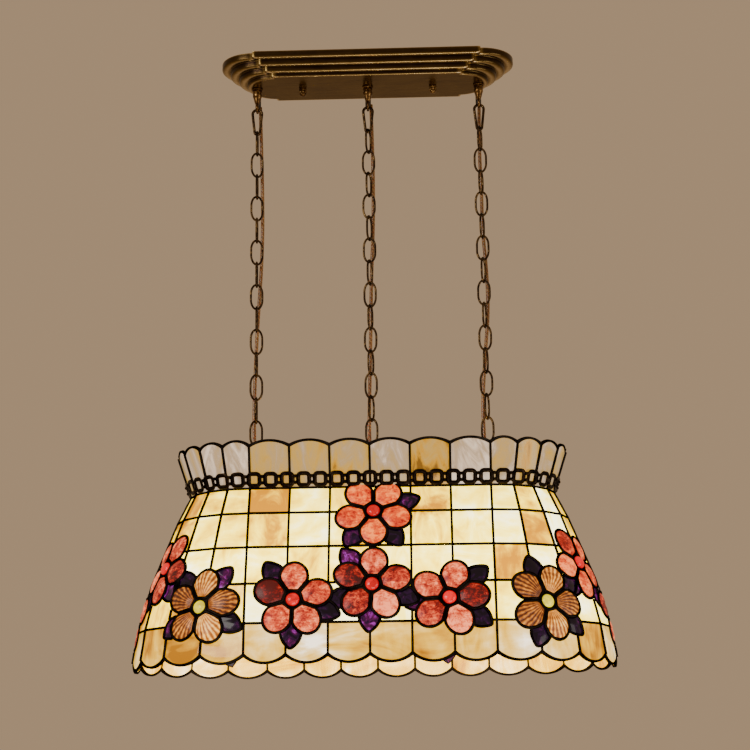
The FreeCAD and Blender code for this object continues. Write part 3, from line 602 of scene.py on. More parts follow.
# %% [markdown]
# ## The canopy
# A pressed pan comes down in four tiers from the ceiling rim to the flat panel. Its plan is a long
# rectangle with a round lobe at each end and a small notch where the two meet. One outline function gives
# that plan at any inset; stacking outlines along a rounded, stepped profile gives the pressing, with soft
# shoulders. Each point stores how far its patina is rubbed off, together with painted highlight on the
# shoulders and notch corners and painted shade on the risers, in an attribute that the finish reads.

# %% Canopy
RIM_LONG, RIM_WIDE, NOTCH = 0.159, 0.0535, 0.0062
PANEL = -0.035
DEPTHS = [0, 10, 20, 29, 35]
INSET_LONG, INSET_WIDE = 0.0088, 0.00327
LOBE_POINTS = 22
SHOULDER, LAST_SHOULDER = 0.0034, 0.0018


def plan_outline(long, wide):
    """The plan's points for a half-length and half-width, from the front edge round to the right and back."""
    lobe = wide - NOTCH
    soft = 0.0016
    quarter = [(long - soft, -wide), (long - 0.3 * soft, -wide + 0.3 * soft), (long, -wide + soft),
               (long + 0.2 * soft, -lobe - soft * 0.6), (long + soft * 0.8, -lobe)]
    for k in range(1, LOBE_POINTS):
        angle = -math.pi / 2 + math.pi / 2 * (k + 0.6) / LOBE_POINTS
        quarter.append((long + lobe * math.cos(angle), lobe * math.sin(angle)))
    half = quarter + [(x, -y) for x, y in quarter[::-1] if y < -1e-9]
    front = [(long * s, -wide) for s in (-0.97, -0.94, -0.6, -0.2, 0.2, 0.6, 0.94, 0.97)]
    return front + half + [(-x, -y) for x, y in front] + [(-x, -y) for x, y in half]


def stepped_profile():
    """Inset along, inset across, depth, and a value for rubbed patina with painted highlight and painted
    shade, down the steps with their rounded shoulders and hollows.
    """
    stations = [(0.0, 0.0, 0.0, 0.5), (0.0, 0.0, -0.0022, 0.1)]
    for step in range(len(DEPTHS) - 1):
        low = -DEPTHS[step + 1] * MM
        a, b = step * INSET_LONG, step * INSET_WIDE
        last = step == len(DEPTHS) - 2
        round_off = LAST_SHOULDER if last else SHOULDER
        for k in range(6):
            angle = math.pi / 2 * k / 5
            turned_in = round_off * (1 - math.cos(angle))
            stations.append((a + turned_in * 1.5, b + turned_in * 0.55,
                             low + round_off * (1 - math.sin(angle)), 0.1 + 0.8 * math.sin(angle) ** 1.5))
        if not last:
            for k in range(1, 4):
                angle = math.pi / 2 * k / 3
                short = 1 - math.sin(angle)
                stations.append((a + INSET_LONG - 0.0009 * short, b + INSET_WIDE - 0.0003 * short,
                                 low - 0.0011 * (1 - math.cos(angle)), 0.7 - 0.25 * k))
    return stations


WALL = 0.0013
# Painted highlight: points near the notch corners get this extra value, which brightens them like a glint.
CORNER_GLINT, CORNER_REACH = 0.4, 0.004
shape = bmesh.new()
outside = stepped_profile()
wear_light_layer = shape.verts.layers.float.new("shoulder")
a, b, z, rubbed = outside[-1]
outside.append((a + 0.0015, b + 0.0015, z, 0.42))
inside = [(a + WALL, b + WALL, z + WALL, 0.3) for a, b, z, rubbed in outside[::-1] if z < -0.001]
inside.append((WALL, WALL, 0.0, 0.3))
shells = []
for stations in (outside, inside):
    rings = [[Vector((x, y, z)) for x, y in plan_outline(RIM_LONG - a, RIM_WIDE - b)]
             for a, b, z, rubbed in stations]
    shells.append(skin(shape, rings, caps=False))
    for row, (a, b, z, rubbed) in zip(shells[-1], stations):
        for vertex in row:
            # Each point's value is rubbed patina with painted highlight and painted shade, plus a painted
            # glint near the notch corners.
            corner = (abs(abs(vertex.co.x) - RIM_LONG + a) < CORNER_REACH
                      and abs(vertex.co.y) > RIM_WIDE - b - 2 * NOTCH)
            vertex[wear_light_layer] = rubbed + (CORNER_GLINT if corner and z > PANEL + 0.0001 else 0.0)
shape.faces.new(shells[0][-1])
shape.faces.new(shells[1][0])
rim_outside, rim_inside = shells[0][0], shells[1][-1]
for k in range(len(rim_outside)):
    n = (k + 1) % len(rim_outside)
    shape.faces.new((rim_outside[k], rim_inside[k], rim_inside[n], rim_outside[n]))
piece("stepped_canopy", from_bmesh("stepped_canopy", shape), antique_brass, "ceiling_set", "antique_brass",
      "canopy", smooth=32)
print("canopy rings:", len(outside) + len(inside))

# %% [markdown]
# ## Collars, rings and cap nuts
# Turned brass: a seat, a collar with two grooves, a taper and a ring under the canopy for each chain, and
# the same upside down on the shade. They come from one lathe helper and one wire helper. The two cap nuts
# between them are knurled so that fingers can turn them, and end in a ball.

# %% Collars and nuts
RING_RADIUS, RING_WIRE, RING_POINTS = 0.006, 0.00175, 36


def ring_points(centre, flat):
    """A circle whose hole looks along Y when flat, else along X."""
    points = []
    for k in range(RING_POINTS):
        angle = 2 * math.pi * k / RING_POINTS
        sideways = (math.cos(angle), 0) if flat else (0, math.cos(angle))
        points.append(centre + Vector((*sideways, math.sin(angle))) * RING_RADIUS)
    return points


def collar_and_ring(shape, x, face, sign, flat):
    profile = [(0.0050, 0.0), (0.0062, 0.0), (0.0065, 0.0004), (0.0065, 0.0036), (0.0058, 0.0041),
               (0.0058, 0.0049), (0.0065, 0.0054), (0.0065, 0.0086), (0.0061, 0.0096), (0.0054, 0.0112),
               (0.0049, 0.0134), (0.0043, 0.0160), (0.0034, 0.0186), (0.0026, 0.0206)]
    turned(shape, [(r, face + sign * h) for r, h in profile], (x, 0, 0))
    wire_round(shape, ring_points(Vector((x, 0, face + sign * 0.02625)), flat), RING_WIRE, 12)


SEAT = [(0.0052, -0.0001), (0.0072, -0.0001), (0.0077, -0.0006), (0.0077, -0.0018), (0.0072, -0.0023),
        (0.0052, -0.0023)]
UPPER_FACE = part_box("canopy_loops")[1][2]
LOWER_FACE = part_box("shade_loops")[0][2]
upper, lower, seats = bmesh.new(), bmesh.new(), bmesh.new()
for x in SPOTS:
    collar_and_ring(upper, x, UPPER_FACE, -1, False)
    collar_and_ring(lower, x, LOWER_FACE, 1, True)
    turned(seats, SEAT, (x, 0, PANEL))
piece("upper_loops", from_bmesh("upper_loops", upper), turned_brass, "ceiling_set", "antique_brass",
      "canopy_loops")
piece("lower_loops", from_bmesh("lower_loops", lower), dark_bronze, "shade", "dark_bronze", "shade_loops")
piece("turned_seats", from_bmesh("turned_seats", seats), turned_brass, "ceiling_set", "antique_brass",
      "collar_seats")

NUT_SPREAD = 0.092
nuts = bmesh.new()
for side in (-1, 1):
    ball = [(0.0004 + 0.004 * math.sin(a), -0.0082 - 0.004 * math.cos(a)) for a in
            (math.pi * k / 12 for k in range(9))]
    barrel = [(0.0036, -0.0075), (0.0050, -0.0072), (0.00525, -0.0066), (0.00525, -0.0042), (0.0047, -0.0038),
              (0.0047, -0.0032), (0.00525, -0.0028), (0.00525, -0.0008), (0.0048, -0.0001)]
    turned(nuts, ball + barrel, (side * NUT_SPREAD, 0, PANEL - 0.0001), segments=48, knurl=0.00035)
piece("knurled_cap_nuts", from_bmesh("knurled_cap_nuts", nuts), turned_brass, "ceiling_set", "antique_brass",
      "cap_nuts", smooth=30)
print("collars, seats and cap nuts made")

# %% [markdown]
# ## Hanger links
# The first link of each chain is a pear: a wide bow to go through the canopy's ring and a narrow bow that
# keeps the chain in the middle. Its line is two arcs joined by straight sides that touch both, which is
# quicker to compute than to model: the lean of the sides follows from the two radii and the distance
# between them.

# %% Hanger links
hanger_low, hanger_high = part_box("hanger_links")
WIDE_BOW, SMALL_BOW, PEAR_WIRE, BOW_STEPS = 0.0066, 0.0037, 0.0019, 16
high = hanger_high[2] - PEAR_WIRE - WIDE_BOW
low = hanger_low[2] + PEAR_WIRE + SMALL_BOW
lean = math.asin((WIDE_BOW - SMALL_BOW) / (high - low))
BOWS = [(WIDE_BOW, high, -lean, math.pi + lean), (SMALL_BOW, low, math.pi + lean, 2 * math.pi - lean)]
shape = bmesh.new()
for x in SPOTS:
    points = []
    for radius, height, start, end in BOWS:
        for k in range(BOW_STEPS + 1):
            angle = start + (end - start) * k / BOW_STEPS
            points.append(Vector((x + radius * math.cos(angle), 0, height + radius * math.sin(angle))))
    wire_round(shape, points, PEAR_WIRE, 12)
piece("pear_links", from_bmesh("pear_links", shape), dark_bronze, "hangers", "dark_bronze", "hanger_links")
print("hanger links made")

# %% [markdown]
# ## Chains with Geometry Nodes
# A chain is one link many times over, each a quarter turn or so from its neighbour. A node tree states that
# rule: a line of points, a link swept from a curve, an instance on every point, and a turn that depends on
# whether the point's index is odd. Its named inputs are the link's sizes, so one tree makes all three
# chains.

# %% Node tree helpers
class Weave:
    """A Geometry Nodes tree with named inputs and short calls for its nodes."""

    def __init__(self, name, **sizes):
        self.tree = bpy.data.node_groups.new(name, "GeometryNodeTree")
        self.tree.interface.new_socket("Geometry", in_out="OUTPUT", socket_type="NodeSocketGeometry")
        self.tree.interface.new_socket("Lines", in_out="INPUT", socket_type="NodeSocketGeometry")
        self.keys = {}
        for label, value in sizes.items():
            kind = "Material" if value is None else "Int" if isinstance(value, int) else "Float"
            socket = self.tree.interface.new_socket(label, in_out="INPUT", socket_type="NodeSocket" + kind)
            if value is not None:
                socket.default_value = value
            self.keys[label] = socket.identifier
        self.inlet = self.tree.nodes.new("NodeGroupInput")
        self.outlet = self.tree.nodes.new("NodeGroupOutput")

    def size(self, label):
        return self.inlet.outputs[label]

    def add(self, kind, out=0, settings=None, **inputs):
        made = self.tree.nodes.new(kind)
        for name, value in (settings or {}).items():
            setattr(made, name, value)
        for name, value in inputs.items():
            plug = plug_of(made, name)
            if isinstance(value, bpy.types.NodeSocket):
                self.tree.links.new(value, plug)
            else:
                plug.default_value = value
        return made.outputs[out]

    def maths(self, operation, a, b=0.0, c=0.0):
        return self.add("ShaderNodeMath", 0, {"operation": operation}, i0=a, i1=b, i2=c)

    def finish(self, geometry_socket, material_label):
        real = self.add("GeometryNodeRealizeInstances", Geometry=geometry_socket)
        dressed = self.add("GeometryNodeSetMaterial", Geometry=real, Material=self.size(material_label))
        self.tree.links.new(dressed, self.outlet.inputs[0])

    def grow(self, name, start=None, **values):
        """The tree's mesh with these input values, grown from a start mesh where the tree uses one."""
        holder = bpy.data.objects.new(name, start or bpy.data.meshes.new(name))
        bpy.context.scene.collection.objects.link(holder)
        modifier = holder.modifiers.new(name, "NODES")
        modifier.node_group = self.tree
        for label, value in values.items():
            modifier[self.keys[label]] = value
        return from_tree(name, holder)


def chain_tree():
    weave = Weave("chain_links", Links=15, Pitch=0.032, Start=-0.1005, Side=0.0, Width=0.019, Stock=0.003,
                  Twist=0.0, Cross=math.radians(76), Oval=0.6, Metal=None)
    bend = weave.maths("MULTIPLY", weave.maths("SUBTRACT", weave.size("Width"), weave.size("Stock")), 0.5)
    straight = weave.maths("SUBTRACT", weave.maths("ADD", weave.size("Pitch"), weave.size("Stock")),
                           weave.maths("MULTIPLY", bend, 2.0))
    circle = weave.add("GeometryNodeCurvePrimitiveCircle", Resolution=40, Radius=bend)
    y = weave.add("ShaderNodeSeparateXYZ", 1, Vector=weave.add("GeometryNodeInputPosition"))
    oval_part = weave.maths("MULTIPLY", weave.maths("DIVIDE", y, bend), weave.size("Oval"))
    rest = weave.maths("SUBTRACT", 1.0, weave.size("Oval"))
    straight_part = weave.maths("MULTIPLY", weave.maths("SIGN", y), rest)
    half_straight = weave.maths("MULTIPLY", straight, 0.5)
    reach = weave.maths("MULTIPLY", weave.maths("ADD", oval_part, straight_part), half_straight)
    apart = weave.add("ShaderNodeCombineXYZ", Y=reach)
    oval = weave.add("GeometryNodeSetPosition", Geometry=circle, Offset=apart)
    standing = weave.add("GeometryNodeTransform", Geometry=oval, Rotation=(math.pi / 2, 0, 0))
    thick = weave.maths("MULTIPLY", weave.size("Stock"), 0.49)
    section = weave.add("GeometryNodeCurvePrimitiveCircle", Resolution=12, Radius=thick)
    link = weave.add("GeometryNodeCurveToMesh", Curve=standing, i1=section)
    middle = weave.maths("SUBTRACT", weave.size("Start"), weave.maths("MULTIPLY", weave.size("Pitch"), 0.5))
    first = weave.add("ShaderNodeCombineXYZ", X=weave.size("Side"), Z=middle)
    step = weave.add("ShaderNodeCombineXYZ", Z=weave.maths("MULTIPLY", weave.size("Pitch"), -1.0))
    line = weave.add("GeometryNodeMeshLine", Count=weave.size("Links"), i2=first, Offset=step)
    odd = weave.maths("MODULO", weave.maths("ADD", weave.add("GeometryNodeInputIndex"), 1.0), 2.0)
    lazy = weave.add("FunctionNodeRandomValue", 1, {"data_type": "FLOAT"}, i2=-0.1, i3=0.1, Seed=5)
    turn = weave.maths("MULTIPLY_ADD", odd, weave.size("Cross"), weave.size("Twist"))
    rotation = weave.add("ShaderNodeCombineXYZ", Z=weave.maths("ADD", turn, lazy))
    chain = weave.add("GeometryNodeInstanceOnPoints", Points=line, Instance=link, Rotation=rotation)
    weave.finish(chain, "Metal")
    return weave


# %% [markdown]
# ## Three chains from one tree
# Real chains never hang alike. Copying one finished chain would show it, so the tree is grown once for each
# station with its own place and its own twist about the vertical.

# %% Chains
CHAIN_TWISTS = (14.0, -8.0, -6.0)
chain_weave = chain_tree()
for x, side, twist in zip(SPOTS, SIDES, CHAIN_TWISTS):
    name = "brass_chain_" + side
    mesh = chain_weave.grow(name, Side=x, Twist=math.radians(twist), Metal=dark_bronze)
    piece(name, mesh, dark_bronze, side + "_chain", "dark_bronze", "chain_" + side)
    print("chain", side, len(mesh.polygons), "faces")

# %% [markdown]
# ## The shade's surface
# The shade is a bell of flat panes: six straight columns on each side and nine round each end, five rows
# below the neck and the flared crown above it. The same few levels and one corner function that made the
# frame's panes are stated here again, because petals and beads have to follow that surface. A flower's
# place is counted in columns and rows, so that it stays on its pane whatever the pane's size.

# %% Shade surface
# Height and half-width of each level, in millimetres.
LEVELS = [(-569, 103), (-622, 85), (-657, 102.5), (-703, 121), (-751, 140), (-801, 153), (-840, 159)]
STRAIGHT, COLUMNS, ENDS = 0.311, 6, 9
LAP = COLUMNS + ENDS


def seam_point(column, radius, z):
    half = STRAIGHT / 2
    side, step = divmod(column % (2 * LAP), LAP)
    if step <= COLUMNS:
        x, y = -half + 2 * half * step / COLUMNS, -radius
    else:
        angle = -math.pi / 2 + math.pi * (step - COLUMNS) / ENDS
        x, y = half + radius * math.cos(angle), radius * math.sin(angle)
    return Vector((x, y, z)) if side == 0 else Vector((-x, -y, z))


def facet(column, row):
    """A pane's corners: two at the top and two at the foot."""
    (high, wide), (low, wider) = LEVELS[row], LEVELS[row + 1]
    return [seam_point(column, wide * MM, high * MM), seam_point(column + 1, wide * MM, high * MM),
            seam_point(column + 1, wider * MM, low * MM), seam_point(column, wider * MM, low * MM)]


def flower_frame(u, v):
    """A place on the shade, with the directions along the row, up the pane and out of it."""
    corners = facet(int(u), int(v))
    along = (corners[1] - corners[0]).normalized()
    rise = ((corners[0] + corners[1]) - (corners[2] + corners[3])).normalized()
    top = corners[0].lerp(corners[1], u - int(u))
    foot = corners[3].lerp(corners[2], u - int(u))
    return top.lerp(foot, v - int(v)), along, rise, along.cross(rise).normalized()


def surface_height(frame_here, x, y, columns):
    """How far the shade's faceted skin stands off a flower's own plane at (x, y)."""
    middle, along, rise, outward = frame_here
    origin = middle + along * x + rise * y
    best = None
    for column in columns:
        for row in range(1, 6):
            a, b, c, d = facet(column, row)
            for triangle in ((a, b, c), (a, c, d)):
                hit = geometry.intersect_ray_tri(*triangle, -outward, origin + outward * 0.06, True)
                if hit is not None:
                    height = (hit - origin).dot(outward)
                    best = height if best is None or abs(height) < abs(best) else best
    return best


Flower = namedtuple("Flower", "u v turn kind tones warm leaves")
# Column, row, turn in degrees, kind, each petal's tone, warmth of all, and each leaf's bearing in degrees.
FRONT_FLOWERS = [
    (1.15, 4.42, 16, "coral", (0.42, 0.66, -0.3, 0.52, 0.6), 0.1, (125, 340, 268)),
    (3.05, 4.05, 14, "coral", (0.4, 0.62, 0.0, 0.14, 0.92), 0.0, (128, 266, 338, 206)),
    (4.90, 4.42, 4, "coral", (-0.12, 0.62, 0.52, 0.26, 0.92), 0.05, (40, 325, 184)),
    (3.08, 1.98, -18, "coral", (0.45, 0.7, 0.5, 0.5, 0.66), 0.75, (18, 235, 305)),
    (7.32, 4.52, 68, "shell", (0.66, 0.16, 0.3, 0.72, 0.22), 0.0, (104, 32, 248, 320)),
    (8.95, 3.40, 50, "coral", (0.55, 0.2, 0.85, 0.6, 0.35), 0.5, (230, 300)),
    (10.50, 4.62, 18, "coral", (0.5, 0.8, 0.1, 0.6, 0.3), 0.0, (126, 54, 270)),
    (12.05, 3.40, 58, "coral", (0.6, 0.5, 0.85, 0.4, 0.1), 0.0, (240, 310)),
    (13.85, 4.55, 13, "shell", (0.22, 0.66, 0.16, 0.34, 0.85), 0.0, (60, 128, 215, 335)),
]
FLOWERS = [Flower(u + shift, *rest) for shift in (0, LAP) for u, *rest in FRONT_FLOWERS]
PETAL_LONG, PETAL_WIDE, PETAL_REACH, BUTTON, CAME = 0.020, 0.0174, 0.030, 0.0085, 0.0015
print("flowers on the shade:", len(FLOWERS))

# %% [markdown]
# ## Petals
# A petal is a piece of shell, naturally domed and thicker in the middle. Its outline is a disc trimmed by
# the borders to its two neighbours and by the button. The mesh is a set of shrinking outlines that rise to
# a dome on the outside and a flatter one inside. The brown petals are scallops, whose ribs fan out from a
# hinge next to the button: each point stores its bearing and distance from that hinge, and the shader draws
# the ribs from them.

# %% Petals
PETAL_SIDES = 48
PETAL_RINGS = [1.0, 0.97, 0.9, 0.78, 0.62, 0.44, 0.24]
OUTER_DOME, INNER_DOME, PETAL_LIFT, RIM_LIFT = 0.0046, 0.0022, 0.0011, 0.0016


def petal_edge(direction, swell):
    """How far a petal reaches from its middle in a direction, made larger all round by swell."""
    long, wide = PETAL_LONG + swell, PETAL_WIDE + swell
    distance = long * wide / math.hypot(wide * math.cos(direction), long * math.sin(direction))
    for side in (-1, 1):
        slope = math.cos(direction - side * math.radians(126))
        if slope > 1e-6:
            border = PETAL_REACH * math.sin(math.radians(36)) - CAME + swell
            distance = min(distance, border / slope)
    if math.cos(direction) < 0:
        distance = min(distance, (PETAL_REACH - BUTTON - 2 * CAME + swell) / -math.cos(direction))
    return distance


def make_petal(shape, layers, place, angle, tone, warm):
    """One closed, domed petal. layers are the mesh's layers for tone, warm, fan and run. Returns its rim."""
    middle, along, rise, outward = flower_frame(*place)
    columns = range(int(place[0]) - 2, int(place[0]) + 3)
    around = PETAL_SIDES
    spin = Matrix.Rotation(angle, 2)
    core = spin @ Vector((PETAL_REACH, 0))
    rim = []
    for k in range(around):
        direction = 2 * math.pi * (k + 0.5) / around
        distance = petal_edge(direction, 0.0)
        plain = Vector((PETAL_REACH + distance * math.cos(direction), distance * math.sin(direction)))
        rim.append(spin @ plain)
    rim_heights = [surface_height((middle, along, rise, outward), p.x, p.y, columns) or 0.0 for p in rim]
    core_height = sum(rim_heights) / around
    sides = []

    def label(vertex, flat):
        local = spin.transposed() @ flat - Vector((BUTTON * 0.5, 0))
        for layer, value in zip(layers, (tone, warm, math.atan2(local.y, local.x), local.length)):
            vertex[layer] = value

    for sign, dome in ((1, OUTER_DOME), (-1, INNER_DOME)):
        rings = []
        for share in PETAL_RINGS:
            ring = []
            height = PETAL_LIFT + dome * (1 - share ** 2.4) ** 0.8
            for k in range(around):
                flat = core.lerp(rim[k], share)
                base = core_height + (rim_heights[k] - core_height) * share
                point = middle + along * flat.x + rise * flat.y + outward * (base + sign * height)
                vertex = shape.verts.new(point)
                label(vertex, flat)
                ring.append(vertex)
            rings.append(ring)
        peak = shape.verts.new(middle + along * core.x + rise * core.y
                               + outward * (core_height + sign * (PETAL_LIFT + dome)))
        label(peak, core)
        for a, b in zip(rings, rings[1:]):
            for k in range(around):
                n = (k + 1) % around
                shape.faces.new((a[k], a[n], b[n], b[k]))
        for k in range(around):
            shape.faces.new((rings[-1][k], rings[-1][(k + 1) % around], peak))
        sides.append(rings[0])
    for k in range(around):
        n = (k + 1) % around
        shape.faces.new((sides[0][k], sides[1][k], sides[1][n], sides[0][n]))
    return [middle + along * p.x + rise * p.y + outward * (h + RIM_LIFT) for p, h in zip(rim, rim_heights)]


petal_meshes = {"coral": bmesh.new(), "shell": bmesh.new()}
petal_layers = {kind: [shape.verts.layers.float.new(n) for n in ("tone", "warm", "fan", "run")]
                for kind, shape in petal_meshes.items()}
petal_rims = []
for flower in FLOWERS:
    shape, layers = petal_meshes[flower.kind], petal_layers[flower.kind]
    for k, tone in enumerate(flower.tones):
        petal_rims.append(make_petal(shape, layers, (flower.u, flower.v), math.radians(flower.turn + 72 * k),
                                     tone, flower.warm))
piece("coral_petal_domes", from_bmesh("coral_petal_domes", petal_meshes["coral"]), coral_glass, "shade",
      "coral_shell", "coral_petals", smooth=50)
piece("scallop_petals", from_bmesh("scallop_petals", petal_meshes["shell"]), brown_shell, "shade",
      "ribbed_shell", "ribbed_shell_petals", smooth=50)
print("petals:", len(petal_rims))

# %% [markdown]
# ## Buttons
# A glass button sits in the middle of each flower, a low dome on both sides of the shade. The lathe helper
# turns it flat at the origin, and a matrix of the flower's own directions then stands it on its pane.

# %% Buttons
def dome_profile(height, steps=8):
    """A quarter of an oval from the button's edge to its axis, where a tiny radius is left."""
    angles = [math.pi / 2 * k / steps for k in range(steps + 1)]
    return [(max(BUTTON * math.cos(angle), 0.00005), height * math.sin(angle)) for angle in angles]


def make_buttons(name, kind, glass, slot, node):
    shape, dice = bmesh.new(), random.Random(7)
    tone = shape.verts.layers.float.new("tone")
    profile = [(r, -0.0012 - h) for r, h in dome_profile(0.0018)[::-1]]
    profile += [(r, 0.0014 + h) for r, h in dome_profile(0.0046)]
    for flower in FLOWERS:
        if flower.kind != kind:
            continue
        here = flower_frame(flower.u, flower.v)
        middle, along, rise, outward = here
        lift = surface_height(here, 0, 0, range(int(flower.u) - 1, int(flower.u) + 2)) or 0.0
        start = len(shape.verts)
        turned(shape, profile, (0, 0, 0), segments=28)
        shape.verts.ensure_lookup_table()
        matrix = Matrix((along, rise, outward)).transposed()
        value = dice.random()
        for vertex in shape.verts[start:]:
            vertex.co = middle + outward * lift + matrix @ vertex.co
            vertex[tone] = value
    piece(name, from_bmesh(name, shape), glass, "shade", slot, node, smooth=60)


make_buttons("ruby_buttons", "coral", ruby, "red_glass", "red_buttons")
make_buttons("citrine_buttons", "shell", citrine, "yellow_glass", "yellow_buttons")
print("buttons made")

# %% [markdown]
# ## Panes and leaves from the frame's own solids
# The frame already holds every pane with its exact cut-outs. A working copy is welded, its flat faces are
# made whole again, its edges get a small bevel, and each loose piece gets its own `tone` and `grain`.

# %% Panes
# For each row, the tone of the panes that stand out, by column: 0 is dark amber and 1 nearly white.
PANE_TONES = [
    {0: 0.4, 1: 0.46, 2: 0.4, 3: 0.7, 4: 0.16, 5: 0.86, 6: 0.64, 7: 0.42, 8: 0.56, 9: 0.62, 26: 0.56, 27: 0.6,
     28: 0.84, 29: 0.84},
    {0: 0.06, 1: 0.6, 2: 0.42, 4: 0.3, 5: 0.66, 6: 0.6, 7: 0.34, 27: 0.36, 28: 0.4, 29: 0.5},
    {0: 0.42, 1: 0.72, 3: 0.6, 4: 0.5, 5: 0.55, 6: 0.72, 7: 0.1, 8: 0.9, 27: 0.3, 28: 0.62, 29: 0.55},
    {0: 0.62, 1: 0.5, 4: 0.66, 5: 0.64, 6: 0.16, 7: 0.7, 28: 0.82, 29: 0.72},
    {0: 0.82, 6: 0.6, 9: 0.7, 28: 0.12},
    {0: 0.5, 1: 0.66, 2: 0.4, 3: 0.44, 4: 0.34, 5: 0.52, 6: 0.6, 7: 0.55, 8: 0.2, 27: 0.3, 28: 0.14,
     29: 0.42},
]
CROWN, FOOT = 0, 5
WELD, EDGE_BEVEL = 0.00002, 0.0004
FLAT, SHARP = math.radians(1.2), math.radians(35)


def chosen_tone(middle, row, chance):
    """The tone given for the pane whose middle this is, or chance where none is given."""
    column = min(range(2 * LAP), key=lambda k: (sum(facet(k, row), Vector()) / 4 - middle).length)
    return PANE_TONES[row].get(column, 0.32 + (0.3 if row in (CROWN, FOOT) else 0.5) * chance)


def welded(node):
    """A working copy of a node's mesh, its loose triangles joined."""
    shape = bmesh.new()
    shape.from_mesh(nodes[node].data)
    bmesh.ops.remove_doubles(shape, verts=shape.verts, dist=WELD)
    return shape


def mark_inner_faces(shape):
    inner = shape.faces.layers.float.new("inner")
    shape.normal_update()
    for face in shape.faces:
        centre = face.calc_center_median()
        spine = Vector((max(-STRAIGHT / 2, min(STRAIGHT / 2, centre.x)), 0, centre.z))
        face[inner] = 1.0 if face.normal.dot(centre - spine) < 0 else 0.0


def islands(shape):
    """The separate pieces of a mesh, each as a list of its vertices."""
    seen = set()
    for vertex in shape.verts:
        if vertex in seen:
            continue
        island, stack = [], [vertex]
        seen.add(vertex)
        while stack:
            here = stack.pop()
            island.append(here)
            for edge in here.link_edges:
                other = edge.other_vert(here)
                if other not in seen:
                    seen.add(other)
                    stack.append(other)
        yield island


def cut_glass(node, seed, row=None):
    """A node's panes or leaves with whole flat faces, small bevels, and a tone and grain for each."""
    shape = welded(node)
    bmesh.ops.dissolve_limit(shape, angle_limit=FLAT, verts=shape.verts, edges=shape.edges)
    tone, grain = (shape.verts.layers.float.new(n) for n in ("tone", "grain"))
    mark_inner_faces(shape)
    dice = random.Random(seed)
    for island in islands(shape):
        own_tone, own_grain = dice.random(), dice.random()
        if row is not None:
            spans = [[v.co[axis] for v in island] for axis in range(3)]
            middle = Vector([(min(span) + max(span)) / 2 for span in spans])
            own_tone = chosen_tone(middle, row, own_tone)
        for here in island:
            here[tone], here[grain] = own_tone, own_grain
    sharp = [e for e in shape.edges if len(e.link_faces) == 2 and e.calc_face_angle(0) > SHARP]
    bmesh.ops.bevel(shape, geom=sharp, offset=EDGE_BEVEL, segments=2, profile=0.5, affect="EDGES",
                    clamp_overlap=True)
    return as_mesh(node, shape)


ROWS = ["crown", "first", "second", "third", "fourth", "foot"]
ROW_GLASS = {"crown": crown_glass, "foot": foot_glass}
for index, row in enumerate(ROWS):
    slot = "crown_shell" if row == "crown" else "cream_shell"
    node, glass = row + "_row_panes", ROW_GLASS.get(row, cream_glass)
    piece(row + "_panes", cut_glass(node, 30 + index, index), glass, "shade", slot, node, smooth=30)
piece("leaf_glass", cut_glass("dark_leaves", 60), amethyst, "shade", "amethyst_glass", "dark_leaves",
      smooth=30)
print("pane rows:", len(ROWS))

# %% [markdown]
# ## Came: foil and solder
# Black solder joins everything. The flat strips between panes and round the flowers come from the frame:
# their shape is already right, so they are only welded and given the finish.

# %% Strips
for part in [row + "_row" for row in ROWS] + ["flower"]:
    name, node = part.replace("_row", "") + "_solder", part + "_came"
    piece(name, as_mesh(node, welded(node)), black_solder, "shade", "solder", node, smooth=30)
print("solder strips:", len(ROWS) + 1)

# %% [markdown]
# ## Rim lines of the leaves
# Round every petal and leaf the solder was run on by hand as a full bead. The petals' rims were kept when
# they were made. A leaf came from the frame, so its rim is worked out here from the same pointed oval, and
# it is broken off where a petal or an earlier leaf lies over it, as the real bead stops there.

# %% Leaf rims
LEAF_FROM, LEAF_TO, LEAF_HALF, LEAF_LIFT = 0.022, 0.062, 0.0125, 0.0012
LEAF_STEPS = 24
FLOWER_SPAN, HEART, GUARD = 0.056, 0.014, 0.0006


def leaf_width(share, extra):
    """Half a leaf's width at a share of its length, with extra for the came."""
    return (LEAF_HALF + extra) * math.sin(math.pi * share) ** 0.75


def flat_offset(point, flower, span):
    """Where a point lies on a flower's own plane, or None when it is further off than span."""
    middle, along, rise, outward = flower_frame(flower.u, flower.v)
    offset = point - middle
    return None if offset.length > span else Vector((offset.dot(along), offset.dot(rise)))


def covered(point):
    """True where a petal or button of any flower lies over this point of the shade."""
    for flower in FLOWERS:
        flat = flat_offset(point, flower, FLOWER_SPAN)
        if flat is None:
            continue
        if flat.length < HEART:
            return True
        for k in range(5):
            local = Matrix.Rotation(-math.radians(flower.turn + 72 * k), 2) @ flat - Vector((PETAL_REACH, 0))
            if local.length < petal_edge(math.atan2(local.y, local.x), GUARD):
                return True
    return False


def under_leaf(point, flowers):
    """True where a leaf of one of these flowers lies over this point of the shade."""
    for flower in flowers:
        flat = flat_offset(point, flower, LEAF_TO + CAME)
        if flat is None:
            continue
        for bearing in flower.leaves:
            local = Matrix.Rotation(-math.radians(bearing), 2) @ flat
            share = (local.x - LEAF_FROM) / (LEAF_TO - LEAF_FROM)
            if 0 < share < 1 and abs(local.y) < leaf_width(share, CAME):
                return True
    return False


def clear_runs(points, flowers, shortest):
    """The parts of a line that no petal, and no leaf of these flowers, covers. None breaks the line too."""
    runs, run = [], []
    for point in points:
        if point is None or covered(point) or under_leaf(point, flowers):
            runs.append(run)
            run = []
        else:
            run.append(point)
    return [r for r in runs + [run] if len(r) >= shortest]


